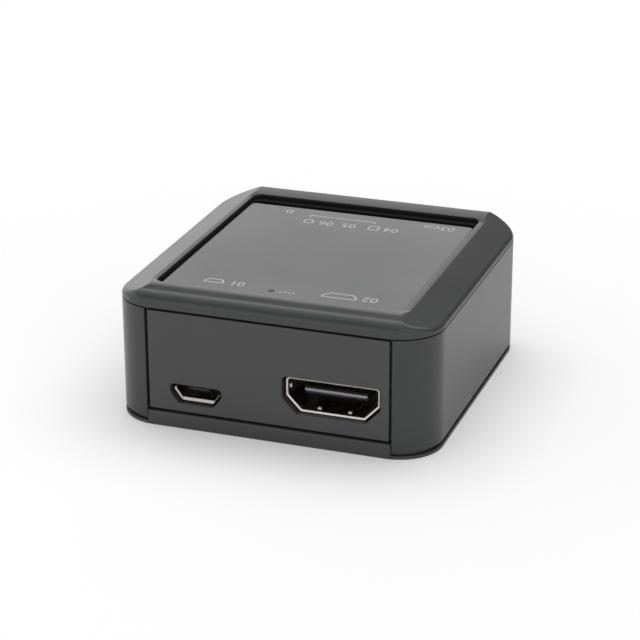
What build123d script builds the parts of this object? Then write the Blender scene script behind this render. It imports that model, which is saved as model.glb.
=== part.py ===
from build123d import *

import os
from math import atan, cos, radians, sin

# HDMI audio converter. Millimetres. X to the right along the front panel, Y to the back, Z up.
# The origin is the centre of the underside, so the box stands on Z = 0.

# Case, from the photograph and the standard sizes of its two front sockets
WIDTH = 52.0
DEPTH = 53.0
HEIGHT = 22.2
CORNER_R = 7.1
WALL = 1.8
EASE = 0.15

# Heights of the case parts
BASE_EDGE_Z = 0.5
GROOVE_TOP_Z = 1.15
FLOOR_TOP_Z = 1.9
LIP_TOP_Z = 2.35
FRAME_TOP_Z = 19.35
SKIRT_Z = 19.55
ROOF_UNDER_Z = 19.0
GROOVE_DEPTH = 0.8
LIP_ROUND_R = 0.35

# Lid form: side bevels with a round foot, and crowned front and rear rims
BEVEL_FOOT_Z = 20.25
BEVEL_TOP_X = 20.9
BEVEL_FOOT_R = 0.9
SIDE_RIM_Z = 22.0
BLEND_Y = 21.3
BLEND_END_Y = 20.0
FRONT_ROUND_R = 2.0
FRONT_ROUND_Z = 20.05
FRONT_TILT_DEG = 10.0
FRONT_APEX_Y = 23.0
REAR_ROUND_R = 1.3

# Label field: a sunk recess, a narrow ledge, and the label in its own pocket
RECESS_X = 19.75
RECESS_Y = 21.5
RECESS_CORNER_R = 1.0
RECESS_ROUND_R = 0.45
LEDGE_Z = 21.4
POCKET_X = 19.55
POCKET_Y = 20.7
POCKET_Z = 20.3
LABEL_X = 19.4
LABEL_Y = 20.4
LABEL_MID_Y = -0.45
LABEL_TOP_Z = 21.45
LABEL_R = 0.8
LIGHT_X = -2.1
LIGHT_Y = -18.3
LIGHT_R = 0.42
PIPE_R = 1.0
PIPE_FLANGE_R = 1.6
PIPE_FOOT_Z = 5.3

# Panels, the seats that they stand in, and the frame webs behind them
PANEL_X = 19.45
SEAT_X = 19.9
PANEL_FLANGE_X = 20.6
PANEL_BOTTOM_Z = 2.85
PANEL_TOP_Z = 19.1
PANEL_FACE_Y = 26.35
PANEL_BACK_Y = 24.7
FLANGE_THICKNESS = 0.65
WEB_FRONT_Y = 24.6
WEB_BACK_Y = 23.4
WINDOW_X = 18.7
WINDOW_BOTTOM_Z = 3.4
WINDOW_TOP_Z = 16.8
SOCKET_GAP = 0.36
CUT_OUT_R = 0.7

# Inner clearance outline shared by the base floor and the lid's locating rim
INNER_X = 24.05
INNER_Y = 23.25
INNER_R = 4.5
RIM_DEPTH = 2.4
RIM_WALL = 1.2

# Circuit board, its posts and screws
BOARD_X = 22.3
BOARD_Y = 22.9
BOARD_Z = 2.8
BOARD_TOP_Z = 4.4
NOTCH_X = 18.5
NOTCH_Y = 16.7
BOARD_SCREW_X = 19.6
BOARD_SCREW_R = 0.75
BOARD_SCREW_HEAD_R = 1.7
REST_POST_X = 20.3
REST_POST_Y = 10.0
REST_POST_R = 1.5
SCREW_POST_R = 1.8

# Case screws and the pillars that take them
PILLAR_X = 21.3
PILLAR_Y = 19.5
PILLAR_R = 2.4
PILLAR_FOOT_Z = 2.25
CASE_SCREW_R = 0.95
CASE_SCREW_HEAD_R = 1.9
CASE_SCREW_HEAD_Z = 1.1
CASE_SCREW_TOP_Z = 8.6

# Parts on the board: places of their centres and shared sizes
MAIN_CHIP_X = 1.0
MAIN_CHIP_Y = -2.5
MAIN_CHIP_HALF = 5.0
CHIP_TOP_Z = 5.9
CHIP_BEVEL = 0.15
LEAD_REACH = 1.0
LEAD_TOP_Z = 4.75
AUDIO_CHIP_X = -9.5
AUDIO_CHIP_Y = 3.0
MEMORY_X = -12.5
MEMORY_Y = -6.5
REGULATOR_X = -15.0
REGULATOR_Y = -14.0
INDUCTOR_X = -7.6
INDUCTOR_Y = -13.2
CRYSTAL_X = 12.6
CRYSTAL_Y = -7.6
CAN_PLACES = ((-17.5, 5.6), (-3.2, 8.6), (-2.6, -12.4))
CAN_FOOT = 2.6
CAN_R = 2.5
CAN_FOOT_Z = 5.0
CAN_TOP_Z = 10.0
PART_LENGTH = 1.6
PART_WIDTH = 0.8

# Sockets: distance of each mouth from the middle of the case, and their centres in X
MOUTH_Y = 25.4
HDMI_IN_X = 10.25
HDMI_OUT_X = -1.2
USB_X = -11.75
OPTICAL_X = 13.0
JACK_X = -14.0

# HDMI type A receptacle: 15.0 by 5.5 outside, with the lower corners cut off
HDMI_HALF = 7.5
HDMI_FOOT_HALF = 5.15
HDMI_BOTTOM_Z = 5.3
HDMI_SHOULDER_Z = 7.75
HDMI_TOP_Z = 10.8
HDMI_WALL = 0.35
HDMI_LENGTH = 10.5
TONGUE_Z = 7.6
TONGUE_TOP_Z = 8.9
TONGUE_HALF = 5.1
CONTACT_PITCH = 1.0
CONTACT_HALF = 0.2
STRIP_THICKNESS = 0.1
HDMI_TAB_PLACES = ((-22.2, -20.6), (-17.4, -15.8))
SHELL_FIT = 0.03
BLOCK_HALF = 6.6
SPRING_X = 2.45
SPRING_BUMP_R = 0.4
SPRING_BUMP_HALF = 0.28
SIDE_BUMP_Z = 8.9

# Micro-USB type B receptacle
USB_HALF = 3.9
USB_FOOT_HALF = 2.75
USB_BOTTOM_Z = 4.55
USB_SHOULDER_Z = 6.1
USB_TOP_Z = 7.0
USB_WALL = 0.3
USB_LENGTH = 5.0
USB_TAB_PLACES = ((-22.6, -21.5), (-20.8, -20.4))
USB_TAB_TOP_Z = 6.45
USB_TONGUE_Z = 5.95
USB_PITCH = 0.62

# Optical output: port, shutter and hinge
OPTICAL_HALF = 4.7
OPTICAL_TOP_Z = 14.8
OPTICAL_FACE_Y = 26.2
OPTICAL_BACK_Y = 12.9
PORT_HALF = 3.8
PORT_BOTTOM_Z = 5.4
PORT_TOP_Z = 13.0
PORT_LIP_BACK_Y = 24.3
CAVITY_HALF = 4.05
CAVITY_TOP_Z = 14.15
CAVITY_BACK_Y = 13.6
EMITTER_TIP_Y = 14.1
FERRULE_Z = 9.2
HINGE_Y = 23.6
HINGE_Z = 13.4
HINGE_PIN_R = 0.4
SPRING_R = 0.57
SPRING_WIRE_R = 0.09
SPRING_PITCH = 0.34
SPRING_TURNS = 5.5

# Stereo jack for a 3.5 mm plug
JACK_Z = 8.0
JACK_BORE_R = 1.8
JACK_SLEEVE_R = 2.3
JACK_CHAMBER_R = 2.15
JACK_FLANGE_R = 2.75
JACK_NOZZLE_R = 3.1
JACK_HALF = 3.3
JACK_FRONT_Y = 12.0
JACK_BACK_Y = 23.0
JACK_SLEEVE_Y = 20.7
JACK_NOZZLE_Y = 26.15
JACK_FACE_Y = 26.42


def block(x0, x1, y0, y1, z0, z1):
    """Box between two corners."""
    centre = ((x0 + x1) / 2, (y0 + y1) / 2, (z0 + z1) / 2)
    return Pos(*centre) * Box(x1 - x0, y1 - y0, z1 - z0)


def post(x, y, radius, z0, z1):
    """Upright cylinder."""
    return Pos(x, y, (z0 + z1) / 2) * Cylinder(radius, z1 - z0)


def bar_x(radius, x0, x1, y, z):
    """Cylinder along X."""
    return Pos((x0 + x1) / 2, y, z) * Rot(0, 90, 0) * Cylinder(radius, x1 - x0)


def bar_y(radius, x, y0, y1, z):
    """Cylinder along Y."""
    return Pos(x, (y0 + y1) / 2, z) * Rot(90, 0, 0) * Cylinder(radius, y1 - y0)


def plate(half_x, half_y, radius, z0, z1):
    """Flat slab with rounded corners."""
    return Pos(0, 0, z0) * extrude(RectangleRounded(2 * half_x, 2 * half_y, radius), z1 - z0)


def along_y(face, y0, y1):
    """Extrude a face drawn in X and Z from y0 to y1."""
    return extrude(Plane.XZ.offset(-y1) * face, y1 - y0)


def along_x(face, x0, x1):
    """Extrude a face drawn in Y and Z from x0 to x1."""
    return extrude(Plane.YZ.offset(x0) * face, x1 - x0)


def group(solids):
    """Separate solids in one node."""
    return Compound([solid for item in solids for solid in item.solids()])


def to_rear(item):
    """Turn a front socket about Z so that its mouth is at the rear."""
    return Rot(0, 0, 180) * item


def pillar_places():
    """Centres of the four case screws."""
    return [(sx * PILLAR_X, sy * PILLAR_Y) for sx in (-1, 1) for sy in (-1, 1)]


def shell_outline(half, foot_half, bottom, shoulder, top, inset, corner):
    """Socket section: flat top, upright sides, cut lower corners. Inset moves every side in."""
    slope = (shoulder - bottom) / (half - foot_half)
    length = (1 + slope ** 2) ** 0.5
    foot = foot_half - inset * (length - 1) / slope
    rise = shoulder + inset * (length - slope)
    points = [
        (-half + inset, top - inset),
        (-half + inset, rise),
        (-foot, bottom + inset),
        (foot, bottom + inset),
        (half - inset, rise),
        (half - inset, top - inset),
    ]
    face = Polygon(*points, align=None)
    return fillet(face.vertices(), corner)


def hdmi_outline(inset, corner):
    """HDMI socket section, drawn about X = 0."""
    return shell_outline(HDMI_HALF, HDMI_FOOT_HALF, HDMI_BOTTOM_Z, HDMI_SHOULDER_Z, HDMI_TOP_Z, inset, corner)


def usb_outline(inset, corner):
    """Micro-USB socket section, drawn about X = 0."""
    return shell_outline(USB_HALF, USB_FOOT_HALF, USB_BOTTOM_Z, USB_SHOULDER_Z, USB_TOP_Z, inset, corner)


# Case

def base_cover():
    """Bottom plate with its dark groove, inner floor, front and rear lips, bosses and posts."""
    body = plate(WIDTH / 2, DEPTH / 2, CORNER_R, 0, BASE_EDGE_Z)
    groove_r = CORNER_R - GROOVE_DEPTH
    body += plate(WIDTH / 2 - GROOVE_DEPTH, DEPTH / 2 - GROOVE_DEPTH, groove_r, BASE_EDGE_Z, GROOVE_TOP_Z)
    body += plate(INNER_X, INNER_Y, INNER_R, GROOVE_TOP_Z, FLOOR_TOP_Z)
    lip = block(EASE - SEAT_X, SEAT_X - EASE, -DEPTH / 2, -PANEL_BACK_Y, BASE_EDGE_Z / 2, LIP_TOP_Z)
    lip = fillet(lip.edges().filter_by(Axis.X).sort_by(Axis.Z)[-2:].sort_by(Axis.Y)[0], LIP_ROUND_R)
    body += [lip, to_rear(lip)]
    for x, y in pillar_places():
        body += post(x, y, PILLAR_R, FLOOR_TOP_Z, PILLAR_FOOT_Z)
    for x in (-1, 1):
        for y in (-REST_POST_Y, REST_POST_Y):
            body += post(x * REST_POST_X, y, REST_POST_R, FLOOR_TOP_Z, BOARD_Z)
        body += post(x * BOARD_SCREW_X, 0, SCREW_POST_R, FLOOR_TOP_Z, BOARD_Z)
        body -= post(x * BOARD_SCREW_X, 0, BOARD_SCREW_R, GROOVE_TOP_Z, BOARD_Z)
    for x, y in pillar_places():
        body -= post(x, y, CASE_SCREW_R + EASE, 0, PILLAR_FOOT_Z)
        body -= post(x, y, CASE_SCREW_HEAD_R + EASE, 0, CASE_SCREW_HEAD_Z)
    return body


def side_frame():
    """Wall ring with rounded columns, panel seats and the window webs behind the panels."""
    body = plate(WIDTH / 2, DEPTH / 2, CORNER_R, GROOVE_TOP_Z, FRAME_TOP_Z)
    body -= plate(WIDTH / 2 - WALL, DEPTH / 2 - WALL, CORNER_R - WALL, GROOVE_TOP_Z, FRAME_TOP_Z)
    outline = plate(WIDTH / 2 - WALL / 2, DEPTH / 2, CORNER_R - WALL / 2, GROOVE_TOP_Z, FRAME_TOP_Z)
    web = outline & block(-WIDTH, WIDTH, WALL / 2 - DEPTH / 2, -WEB_BACK_Y, GROOVE_TOP_Z, FRAME_TOP_Z)
    seat = block(-SEAT_X, SEAT_X, -DEPTH, -WEB_FRONT_Y, 0, HEIGHT)
    slot_x = PANEL_FLANGE_X + EASE
    slot_front = PANEL_BACK_Y + FLANGE_THICKNESS + EASE
    slot = block(-slot_x, slot_x, -slot_front, -WEB_FRONT_Y, PANEL_BOTTOM_Z - EASE, HEIGHT)
    window = block(-WINDOW_X, WINDOW_X, -DEPTH, -INNER_Y, WINDOW_BOTTOM_Z, WINDOW_TOP_Z)
    body += [web, to_rear(web)]
    for cut in (seat, slot, window):
        body -= [cut, to_rear(cut)]
    return body


def inner_crown(side, apex_y):
    """From a rim's crest down to the level of the side rims: an arc and its reverse, both tangent."""
    half_turn = atan((HEIGHT - SIDE_RIM_Z) / (apex_y - BLEND_END_Y))
    radius = (apex_y - BLEND_Y) / sin(2 * half_turn)
    blend_z = HEIGHT - radius * (1 - cos(2 * half_turn))
    low_radius = (BLEND_Y - BLEND_END_Y) / sin(2 * half_turn)
    upper_mid = (side * (apex_y - radius * sin(half_turn)), HEIGHT - radius * (1 - cos(half_turn)))
    lower_mid_z = SIDE_RIM_Z + low_radius * (1 - cos(half_turn))
    lower_mid = (side * (BLEND_END_Y + low_radius * sin(half_turn)), lower_mid_z)
    blend, low = (side * BLEND_Y, blend_z), (side * BLEND_END_Y, SIDE_RIM_Z)
    return [ThreePointArc((side * apex_y, HEIGHT), upper_mid, blend), ThreePointArc(blend, lower_mid, low)]


def lid_profile():
    """Lid section across the front and rear rims, in Y and Z, between the lid's side bevels."""
    half = DEPTH / 2
    foot_z = SKIRT_Z - 1
    tilt, steep = radians(FRONT_TILT_DEG), radians(45)
    front_start = (-half, FRONT_ROUND_Z)
    round_y = FRONT_ROUND_R - half
    front_mid = (round_y - FRONT_ROUND_R * cos(steep), FRONT_ROUND_Z + FRONT_ROUND_R * sin(steep))
    front_end = (round_y - FRONT_ROUND_R * sin(tilt), FRONT_ROUND_Z + FRONT_ROUND_R * cos(tilt))
    crown_mid = ((front_end[0] - FRONT_APEX_Y) / 2, HEIGHT - (HEIGHT - front_end[1]) / 4)
    rear_start, rear_y = (half, HEIGHT - REAR_ROUND_R), half - REAR_ROUND_R
    rear_mid = (rear_y + REAR_ROUND_R * cos(steep), rear_start[1] + REAR_ROUND_R * sin(steep))
    edges = [Line((-half, foot_z), front_start), ThreePointArc(front_start, front_mid, front_end)]
    edges += [ThreePointArc(front_end, crown_mid, (-FRONT_APEX_Y, HEIGHT))]
    edges += inner_crown(-1, FRONT_APEX_Y) + inner_crown(1, rear_y)
    edges += [Line((-BLEND_END_Y, SIDE_RIM_Z), (BLEND_END_Y, SIDE_RIM_Z))]
    edges += [ThreePointArc((rear_y, HEIGHT), rear_mid, rear_start)]
    edges += [Line(rear_start, (half, foot_z)), Line((half, foot_z), (-half, foot_z))]
    return make_face(edges)


def bevel_profile():
    """Lid section across the side bevels, in X and Z."""
    half = WIDTH / 2
    steep = (SIDE_RIM_Z - BEVEL_FOOT_Z) / (half - BEVEL_TOP_X)
    apex_x = BEVEL_TOP_X - (HEIGHT - SIDE_RIM_Z) / steep
    right = [(half, SKIRT_Z - 1), (half, BEVEL_FOOT_Z), (apex_x, HEIGHT)]
    left = [(-x, z) for x, z in reversed(right)]
    return Polygon(*right, *left, align=None)


def lid_form():
    """Outer form of the lid, before the recess is cut."""
    form = plate(WIDTH / 2, DEPTH / 2, CORNER_R, SKIRT_Z, HEIGHT)
    form &= along_x(lid_profile(), -WIDTH, WIDTH)
    form &= along_y(bevel_profile(), -DEPTH, DEPTH)
    sides = form.edges().filter_by(Axis.Y)
    return fillet([edge for edge in sides if abs(edge.center().Z - BEVEL_FOOT_Z) < 0.01], BEVEL_FOOT_R)


def recess_rim(body):
    """Top edges of the recess in the lid."""
    rim = []
    for edge in body.edges():
        middle = edge.center()
        inside = abs(middle.X) < RECESS_X + 0.01 and abs(middle.Y) < RECESS_Y + 0.01
        if inside and middle.Z > SIDE_RIM_Z - 0.02:
            rim += [edge]
    return rim


def top_cover():
    """Lid with the label field on top, and its roof, locating rim and screw pillars below."""
    body = lid_form()
    inner_r = INNER_R - RIM_WALL
    body += plate(INNER_X, INNER_Y, INNER_R, SKIRT_Z - RIM_DEPTH, SKIRT_Z)
    body -= plate(INNER_X - RIM_WALL, INNER_Y - RIM_WALL, inner_r, SKIRT_Z - RIM_DEPTH, ROOF_UNDER_Z)
    for x, y in pillar_places():
        body += post(x, y, PILLAR_R, PILLAR_FOOT_Z, SKIRT_Z)
        body -= post(x, y, CASE_SCREW_R, PILLAR_FOOT_Z, CASE_SCREW_TOP_Z + EASE)
    body -= plate(RECESS_X, RECESS_Y, RECESS_CORNER_R, LEDGE_Z, HEIGHT)
    body = fillet(recess_rim(body), RECESS_ROUND_R)
    body -= Pos(0, LABEL_MID_Y, 0) * plate(POCKET_X, POCKET_Y, RECESS_CORNER_R, POCKET_Z, HEIGHT)
    return body - post(LIGHT_X, LIGHT_Y, PIPE_R + EASE / 2, ROOF_UNDER_Z, HEIGHT)


def label_plate():
    """Inlay plate with the hole for the light window."""
    body = Pos(0, LABEL_MID_Y, 0) * plate(LABEL_X, LABEL_Y, LABEL_R, POCKET_Z, LABEL_TOP_Z)
    return body - post(LIGHT_X, LIGHT_Y, LIGHT_R + 0.03, POCKET_Z, HEIGHT)


def light_pipe():
    """Clear rod from the board to the label, with a flange under the roof and a thin nose."""
    body = post(LIGHT_X, LIGHT_Y, PIPE_R, PIPE_FOOT_Z, POCKET_Z)
    body += post(LIGHT_X, LIGHT_Y, PIPE_FLANGE_R, ROOF_UNDER_Z - PIPE_R, ROOF_UNDER_Z)
    return body + post(LIGHT_X, LIGHT_Y, LIGHT_R, POCKET_Z, LABEL_TOP_Z - 0.04)


def panel_blank():
    """Front panel before its cut-outs: face plate and the thin flanges that slide in the frame."""
    body = block(-PANEL_X, PANEL_X, -PANEL_FACE_Y, -PANEL_BACK_Y, PANEL_BOTTOM_Z, PANEL_TOP_Z)
    front = PANEL_BACK_Y + FLANGE_THICKNESS
    return body + block(-PANEL_FLANGE_X, PANEL_FLANGE_X, -front, -PANEL_BACK_Y, PANEL_BOTTOM_Z, PANEL_TOP_Z)


def hdmi_cut_out():
    """Clearance round an HDMI shell, with its lower edge just under the shell."""
    cut = along_y(hdmi_outline(-SOCKET_GAP, CUT_OUT_R), -DEPTH, -INNER_Y)
    return cut - block(-HDMI_HALF, HDMI_HALF, -DEPTH, -INNER_Y, 0, HDMI_BOTTOM_Z - EASE / 2)


def front_panel():
    """Panel with the HDMI input and micro-USB cut-outs."""
    body = panel_blank()
    body -= Pos(HDMI_IN_X, 0, 0) * hdmi_cut_out()
    body -= Pos(USB_X, 0, 0) * along_y(usb_outline(-SOCKET_GAP, CUT_OUT_R), -DEPTH, -INNER_Y)
    return body


def rear_panel():
    """Panel with the HDMI output, optical and jack cut-outs."""
    body = to_rear(panel_blank())
    body -= Pos(HDMI_OUT_X, 0, 0) * to_rear(hdmi_cut_out())
    x0, x1 = OPTICAL_X - OPTICAL_HALF - EASE, OPTICAL_X + OPTICAL_HALF + EASE
    body -= block(x0, x1, INNER_Y, DEPTH, BOARD_TOP_Z - EASE, OPTICAL_TOP_Z + EASE)
    return body - bar_y(JACK_NOZZLE_R + EASE, JACK_X, INNER_Y, DEPTH, JACK_Z)


def case_screws():
    """Four self-tapping screws driven up through the base into the lid's pillars."""
    screws = []
    for x, y in pillar_places():
        head = post(x, y, CASE_SCREW_HEAD_R, 0.1, CASE_SCREW_HEAD_Z) - post(x, y, 0.55, 0.1, 0.6)
        screws += [head + post(x, y, CASE_SCREW_R, CASE_SCREW_HEAD_Z, CASE_SCREW_TOP_Z)]
    return group(screws)


# Circuit board and its parts

def board_slots():
    """Slots in the board for the socket tabs."""
    slots = []
    for item in hdmi_tabs(HDMI_IN_X, 1) + hdmi_tabs(HDMI_OUT_X, -1) + usb_tabs():
        low, high = item.bounding_box().min, item.bounding_box().max
        slot = block(low.X - EASE, high.X + EASE, low.Y - EASE, high.Y + EASE, BOARD_Z, BOARD_TOP_Z)
        slots += [slot]
    return slots


def circuit_board():
    """Board with corner notches round the pillars, screw holes and tab slots."""
    body = block(-BOARD_X, BOARD_X, -BOARD_Y, BOARD_Y, BOARD_Z, BOARD_TOP_Z)
    for sx in (-1, 1):
        for sy in (-1, 1):
            xs = sorted((sx * NOTCH_X, sx * WIDTH))
            ys = sorted((sy * NOTCH_Y, sy * DEPTH))
            body -= block(*xs, *ys, 0, HEIGHT)
        body -= post(sx * BOARD_SCREW_X, 0, BOARD_SCREW_R + 2 * EASE, BOARD_Z, BOARD_TOP_Z)
    return body - board_slots()


def board_screws():
    """Two screws that hold the board on its posts."""
    screws = []
    for x in (-BOARD_SCREW_X, BOARD_SCREW_X):
        head = post(x, 0, BOARD_SCREW_HEAD_R, BOARD_TOP_Z, BOARD_TOP_Z + 1.0)
        head -= post(x, 0, 0.5, BOARD_TOP_Z + 0.4, HEIGHT)
        screws += [head + post(x, 0, BOARD_SCREW_R, GROOVE_TOP_Z, BOARD_TOP_Z)]
    return group(screws)


def lead_rows(place, edge, count, pitch, width):
    """Flat leads on both sides of a chip at the given place, along its own X."""
    rows = []
    for k in range(count):
        middle = (k - (count - 1) / 2) * pitch
        x0, x1 = middle - width / 2, middle + width / 2
        for y in (-edge - LEAD_REACH, edge):
            rows += [place * block(x0, x1, y, y + LEAD_REACH, BOARD_TOP_Z, LEAD_TOP_Z)]
    return rows


def chip(x, y, half_x, half_y, top):
    """Moulded chip body just above the board, with its top edges broken."""
    body = block(x - half_x, x + half_x, y - half_y, y + half_y, BOARD_TOP_Z + 0.1, top)
    return chamfer(body.faces().sort_by(Axis.Z)[-1].edges(), CHIP_BEVEL)


def main_chip():
    """Square converter chip with a shallow pin 1 dimple."""
    dimple_x, dimple_y = MAIN_CHIP_X - 3.8, MAIN_CHIP_Y - 3.8
    body = chip(MAIN_CHIP_X, MAIN_CHIP_Y, MAIN_CHIP_HALF, MAIN_CHIP_HALF, CHIP_TOP_Z)
    return body - post(dimple_x, dimple_y, 0.5, CHIP_TOP_Z - 0.1, CHIP_TOP_Z + 0.1)


def main_chip_leads():
    """Sixteen leads on each side of the converter chip."""
    place = Pos(MAIN_CHIP_X, MAIN_CHIP_Y, 0)
    front_rear = lead_rows(place, MAIN_CHIP_HALF, 16, 0.55, 0.24)
    return group(front_rear + lead_rows(place * Rot(0, 0, 90), MAIN_CHIP_HALF, 16, 0.55, 0.24))


def audio_chip():
    """Audio converter chip with ten leads a side."""
    place = Pos(AUDIO_CHIP_X, AUDIO_CHIP_Y, 0) * Rot(0, 0, 90)
    body = chip(AUDIO_CHIP_X, AUDIO_CHIP_Y, 2.2, 3.25, 5.5)
    return group([body] + lead_rows(place, 2.2, 10, 0.65, 0.24))


def memory_chip():
    """Small memory chip with four leads a side."""
    body = chip(MEMORY_X, MEMORY_Y, 2.45, 1.95, CHIP_TOP_Z)
    return group([body] + lead_rows(Pos(MEMORY_X, MEMORY_Y, 0), 1.95, 4, 1.27, 0.4))


def voltage_regulator():
    """Regulator with three leads on one side and a wide tab on the other."""
    x, y = REGULATOR_X, REGULATOR_Y
    parts = [chip(x, y, 3.25, 1.75, 6.1), block(x - 1.5, x + 1.5, y + 1.75, y + 3.4, BOARD_TOP_Z, 4.9)]
    for pin_x in (x - 2.3, x, x + 2.3):
        parts += [block(pin_x - 0.35, pin_x + 0.35, y - 3.3, y - 1.75, BOARD_TOP_Z, 4.9)]
    return group(parts)


def power_inductor():
    """Shielded square inductor with a round core face."""
    x, y = INDUCTOR_X, INDUCTOR_Y
    half, top = 2.0, 6.6
    body = block(x - half, x + half, y - half, y + half, BOARD_TOP_Z, top)
    body = chamfer(body.edges().filter_by(Axis.Z), 0.6)
    return body - (post(x, y, 1.7, top - 0.25, HEIGHT) - post(x, y, 1.3, top - 0.25, HEIGHT))


def crystal():
    """Metal-cased quartz crystal beside the chip: a flange and a can with rounded ends."""
    place = Pos(CRYSTAL_X, CRYSTAL_Y, BOARD_TOP_Z)
    can = place * extrude(SlotOverall(10.4, 4.4), 3.4)
    can = fillet(can.faces().sort_by(Axis.Z)[-1].edges(), 0.5)
    return can + place * extrude(SlotOverall(11.2, 5.0), 0.5)


def electrolytic_capacitors():
    """Three aluminium cans on square bases."""
    cans = []
    for x, y in CAN_PLACES:
        base = block(x - CAN_FOOT, x + CAN_FOOT, y - CAN_FOOT, y + CAN_FOOT, BOARD_TOP_Z, CAN_FOOT_Z)
        base = chamfer(base.edges().filter_by(Axis.Z).sort_by(Axis.X)[-2:], 1.0)
        can = post(x, y, CAN_R, CAN_FOOT_Z, CAN_TOP_Z)
        can = fillet(can.faces().sort_by(Axis.Z)[-1].edges(), 0.3)
        cans += [base + can]
    return group(cans)


def chip_parts(places, height):
    """Rows of small two-ended parts, each at x, y and turned along X or Y."""
    parts = []
    for x, y, turned in places:
        half_x, half_y = PART_WIDTH / 2, PART_LENGTH / 2
        if not turned:
            half_x, half_y = half_y, half_x
        parts += [block(x - half_x, x + half_x, y - half_y, y + half_y, BOARD_TOP_Z, BOARD_TOP_Z + height)]
    return group(parts)


def chip_capacitors():
    """Ceramic capacitors round the chips and sockets."""
    places = [(9.4, y, False) for y in (-1.8, -0.2, 1.4)]
    places += [(x, 5.4, True) for x in (1.0, 2.8, 4.6)]
    places += [(x, -2.2, True) for x in (-9.5, -7.5, -5.5)]
    places += [(20.6, y, True) for y in (-14.0, -11.6, -9.2, 3.0, 5.4, 7.8)]
    return chip_parts(places, 0.8)


def chip_resistors():
    """Flat resistors in rows near the optical output, the left edge and the chip."""
    places = [(x, 9.4, True) for x in (8.0, 9.6, 11.2, 12.8)]
    places += [(-20.6, y, False) for y in (-15.0, -13.2, -11.4, -5.6, -3.8, 2.2)]
    places += [(x, -10.0, True) for x in (0.8, 2.4, 4.0)]
    return chip_parts(places, 0.45)


def status_led():
    """Indicator diode under the light pipe."""
    body = block(LIGHT_X - 0.8, LIGHT_X + 0.8, LIGHT_Y - 0.4, LIGHT_Y + 0.4, BOARD_TOP_Z, 4.8)
    return body + block(LIGHT_X - 0.5, LIGHT_X + 0.5, LIGHT_Y - 0.38, LIGHT_Y + 0.38, 4.8, 5.1)


# HDMI sockets, drawn at the front about X = 0

def hdmi_tabs(x, side):
    """Four soldering tabs of an HDMI shell that pass through the board. Side -1 is the rear."""
    tabs = []
    for x0, x1 in ((-HDMI_HALF, HDMI_WALL - HDMI_HALF), (HDMI_HALF - HDMI_WALL, HDMI_HALF)):
        for y0, y1 in HDMI_TAB_PLACES:
            tab = block(x0, x1, y0, y1, 2.4, 8.2)
            tabs += [Pos(x, 0, 0) * (tab if side > 0 else to_rear(tab))]
    return tabs


def hdmi_springs():
    """Contact bumps pressed into the shell: two below, two above and one in each side."""
    y = 1.4 - MOUTH_Y
    sink = SPRING_BUMP_R - 0.13
    bumps = []
    for x in (-SPRING_X, SPRING_X):
        for z in (HDMI_BOTTOM_Z + sink, HDMI_TOP_Z - sink):
            bumps += [bar_x(SPRING_BUMP_R, x - SPRING_BUMP_HALF, x + SPRING_BUMP_HALF, y, z)]
    for x in (sink - HDMI_HALF, HDMI_HALF - sink):
        bumps += [post(x, y, SPRING_BUMP_R, SIDE_BUMP_Z - SPRING_BUMP_HALF, SIDE_BUMP_Z + SPRING_BUMP_HALF)]
    return bumps


def hdmi_shell():
    """Stamped steel shell with its spring bumps and the slots beside each spring."""
    body = along_y(hdmi_outline(0, 0.6), -MOUTH_Y, HDMI_LENGTH - MOUTH_Y)
    whole = body
    body -= along_y(hdmi_outline(HDMI_WALL, 0.4), -DEPTH, 0)
    body += [bump & whole for bump in hdmi_springs()]
    y0, y1 = 0.9 - MOUTH_Y, 5.0 - MOUTH_Y
    for middle in (-SPRING_X, SPRING_X):
        for x in (middle - 0.8, middle + 0.8):
            for z in (HDMI_BOTTOM_Z, HDMI_TOP_Z):
                body -= block(x - 0.12, x + 0.12, y0, y1, z - 1, z + 1)
    return body


def hdmi_contacts():
    """Nineteen contacts: ten over the tongue and nine under it, each down to a solder tail."""
    back = HDMI_LENGTH - MOUTH_Y + 1.1
    strips = []
    for over, count in ((True, 10), (False, 9)):
        z0 = TONGUE_TOP_Z if over else TONGUE_Z - STRIP_THICKNESS
        z1 = z0 + STRIP_THICKNESS
        wall = back + 0.15 if over else back - 0.35
        tail_end = back + 1.0 if over else wall
        for k in range(count):
            middle = (k - (count - 1) / 2) * CONTACT_PITCH
            x0, x1 = middle - CONTACT_HALF, middle + CONTACT_HALF
            strip = block(x0, x1, 2.2 - MOUTH_Y, wall, z0, z1)
            strip += block(x0, x1, wall - 0.12, wall, BOARD_TOP_Z, z1)
            tail = block(x0, x1, wall - 0.12, tail_end, BOARD_TOP_Z, BOARD_TOP_Z + STRIP_THICKNESS)
            strips += [strip + tail]
    return group(strips)


def hdmi_insulator():
    """Moulded carrier: foot under the shell, rear block and the tongue, slotted for the contacts."""
    back = HDMI_LENGTH - MOUTH_Y
    block_back = back + 1.05
    tongue = block(-TONGUE_HALF, TONGUE_HALF, 1.6 - MOUTH_Y, back, TONGUE_Z, TONGUE_TOP_Z)
    body = chamfer(tongue.faces().sort_by(Axis.Y)[0].edges(), 0.3)
    body += along_y(hdmi_outline(HDMI_WALL + SHELL_FIT, 0.37), back - 2.4, back + 0.3)
    body += block(-BLOCK_HALF, BLOCK_HALF, back + SHELL_FIT, block_back, BOARD_TOP_Z, HDMI_TOP_Z - 0.6)
    body += block(-BLOCK_HALF, BLOCK_HALF, 3.0 - MOUTH_Y, block_back, BOARD_TOP_Z, HDMI_BOTTOM_Z - SHELL_FIT)
    return body - hdmi_contacts()


# Micro-USB socket

def usb_tabs():
    """Four soldering tabs of the micro-USB shell that pass through the board."""
    tabs = []
    for side in (-1, 1):
        x0, x1 = sorted((side * USB_HALF, side * (USB_HALF - USB_WALL)))
        for y0, y1 in USB_TAB_PLACES:
            tabs += [Pos(USB_X, 0, 0) * block(x0, x1, y0, y1, 3.0, USB_TAB_TOP_Z)]
    return tabs


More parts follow.
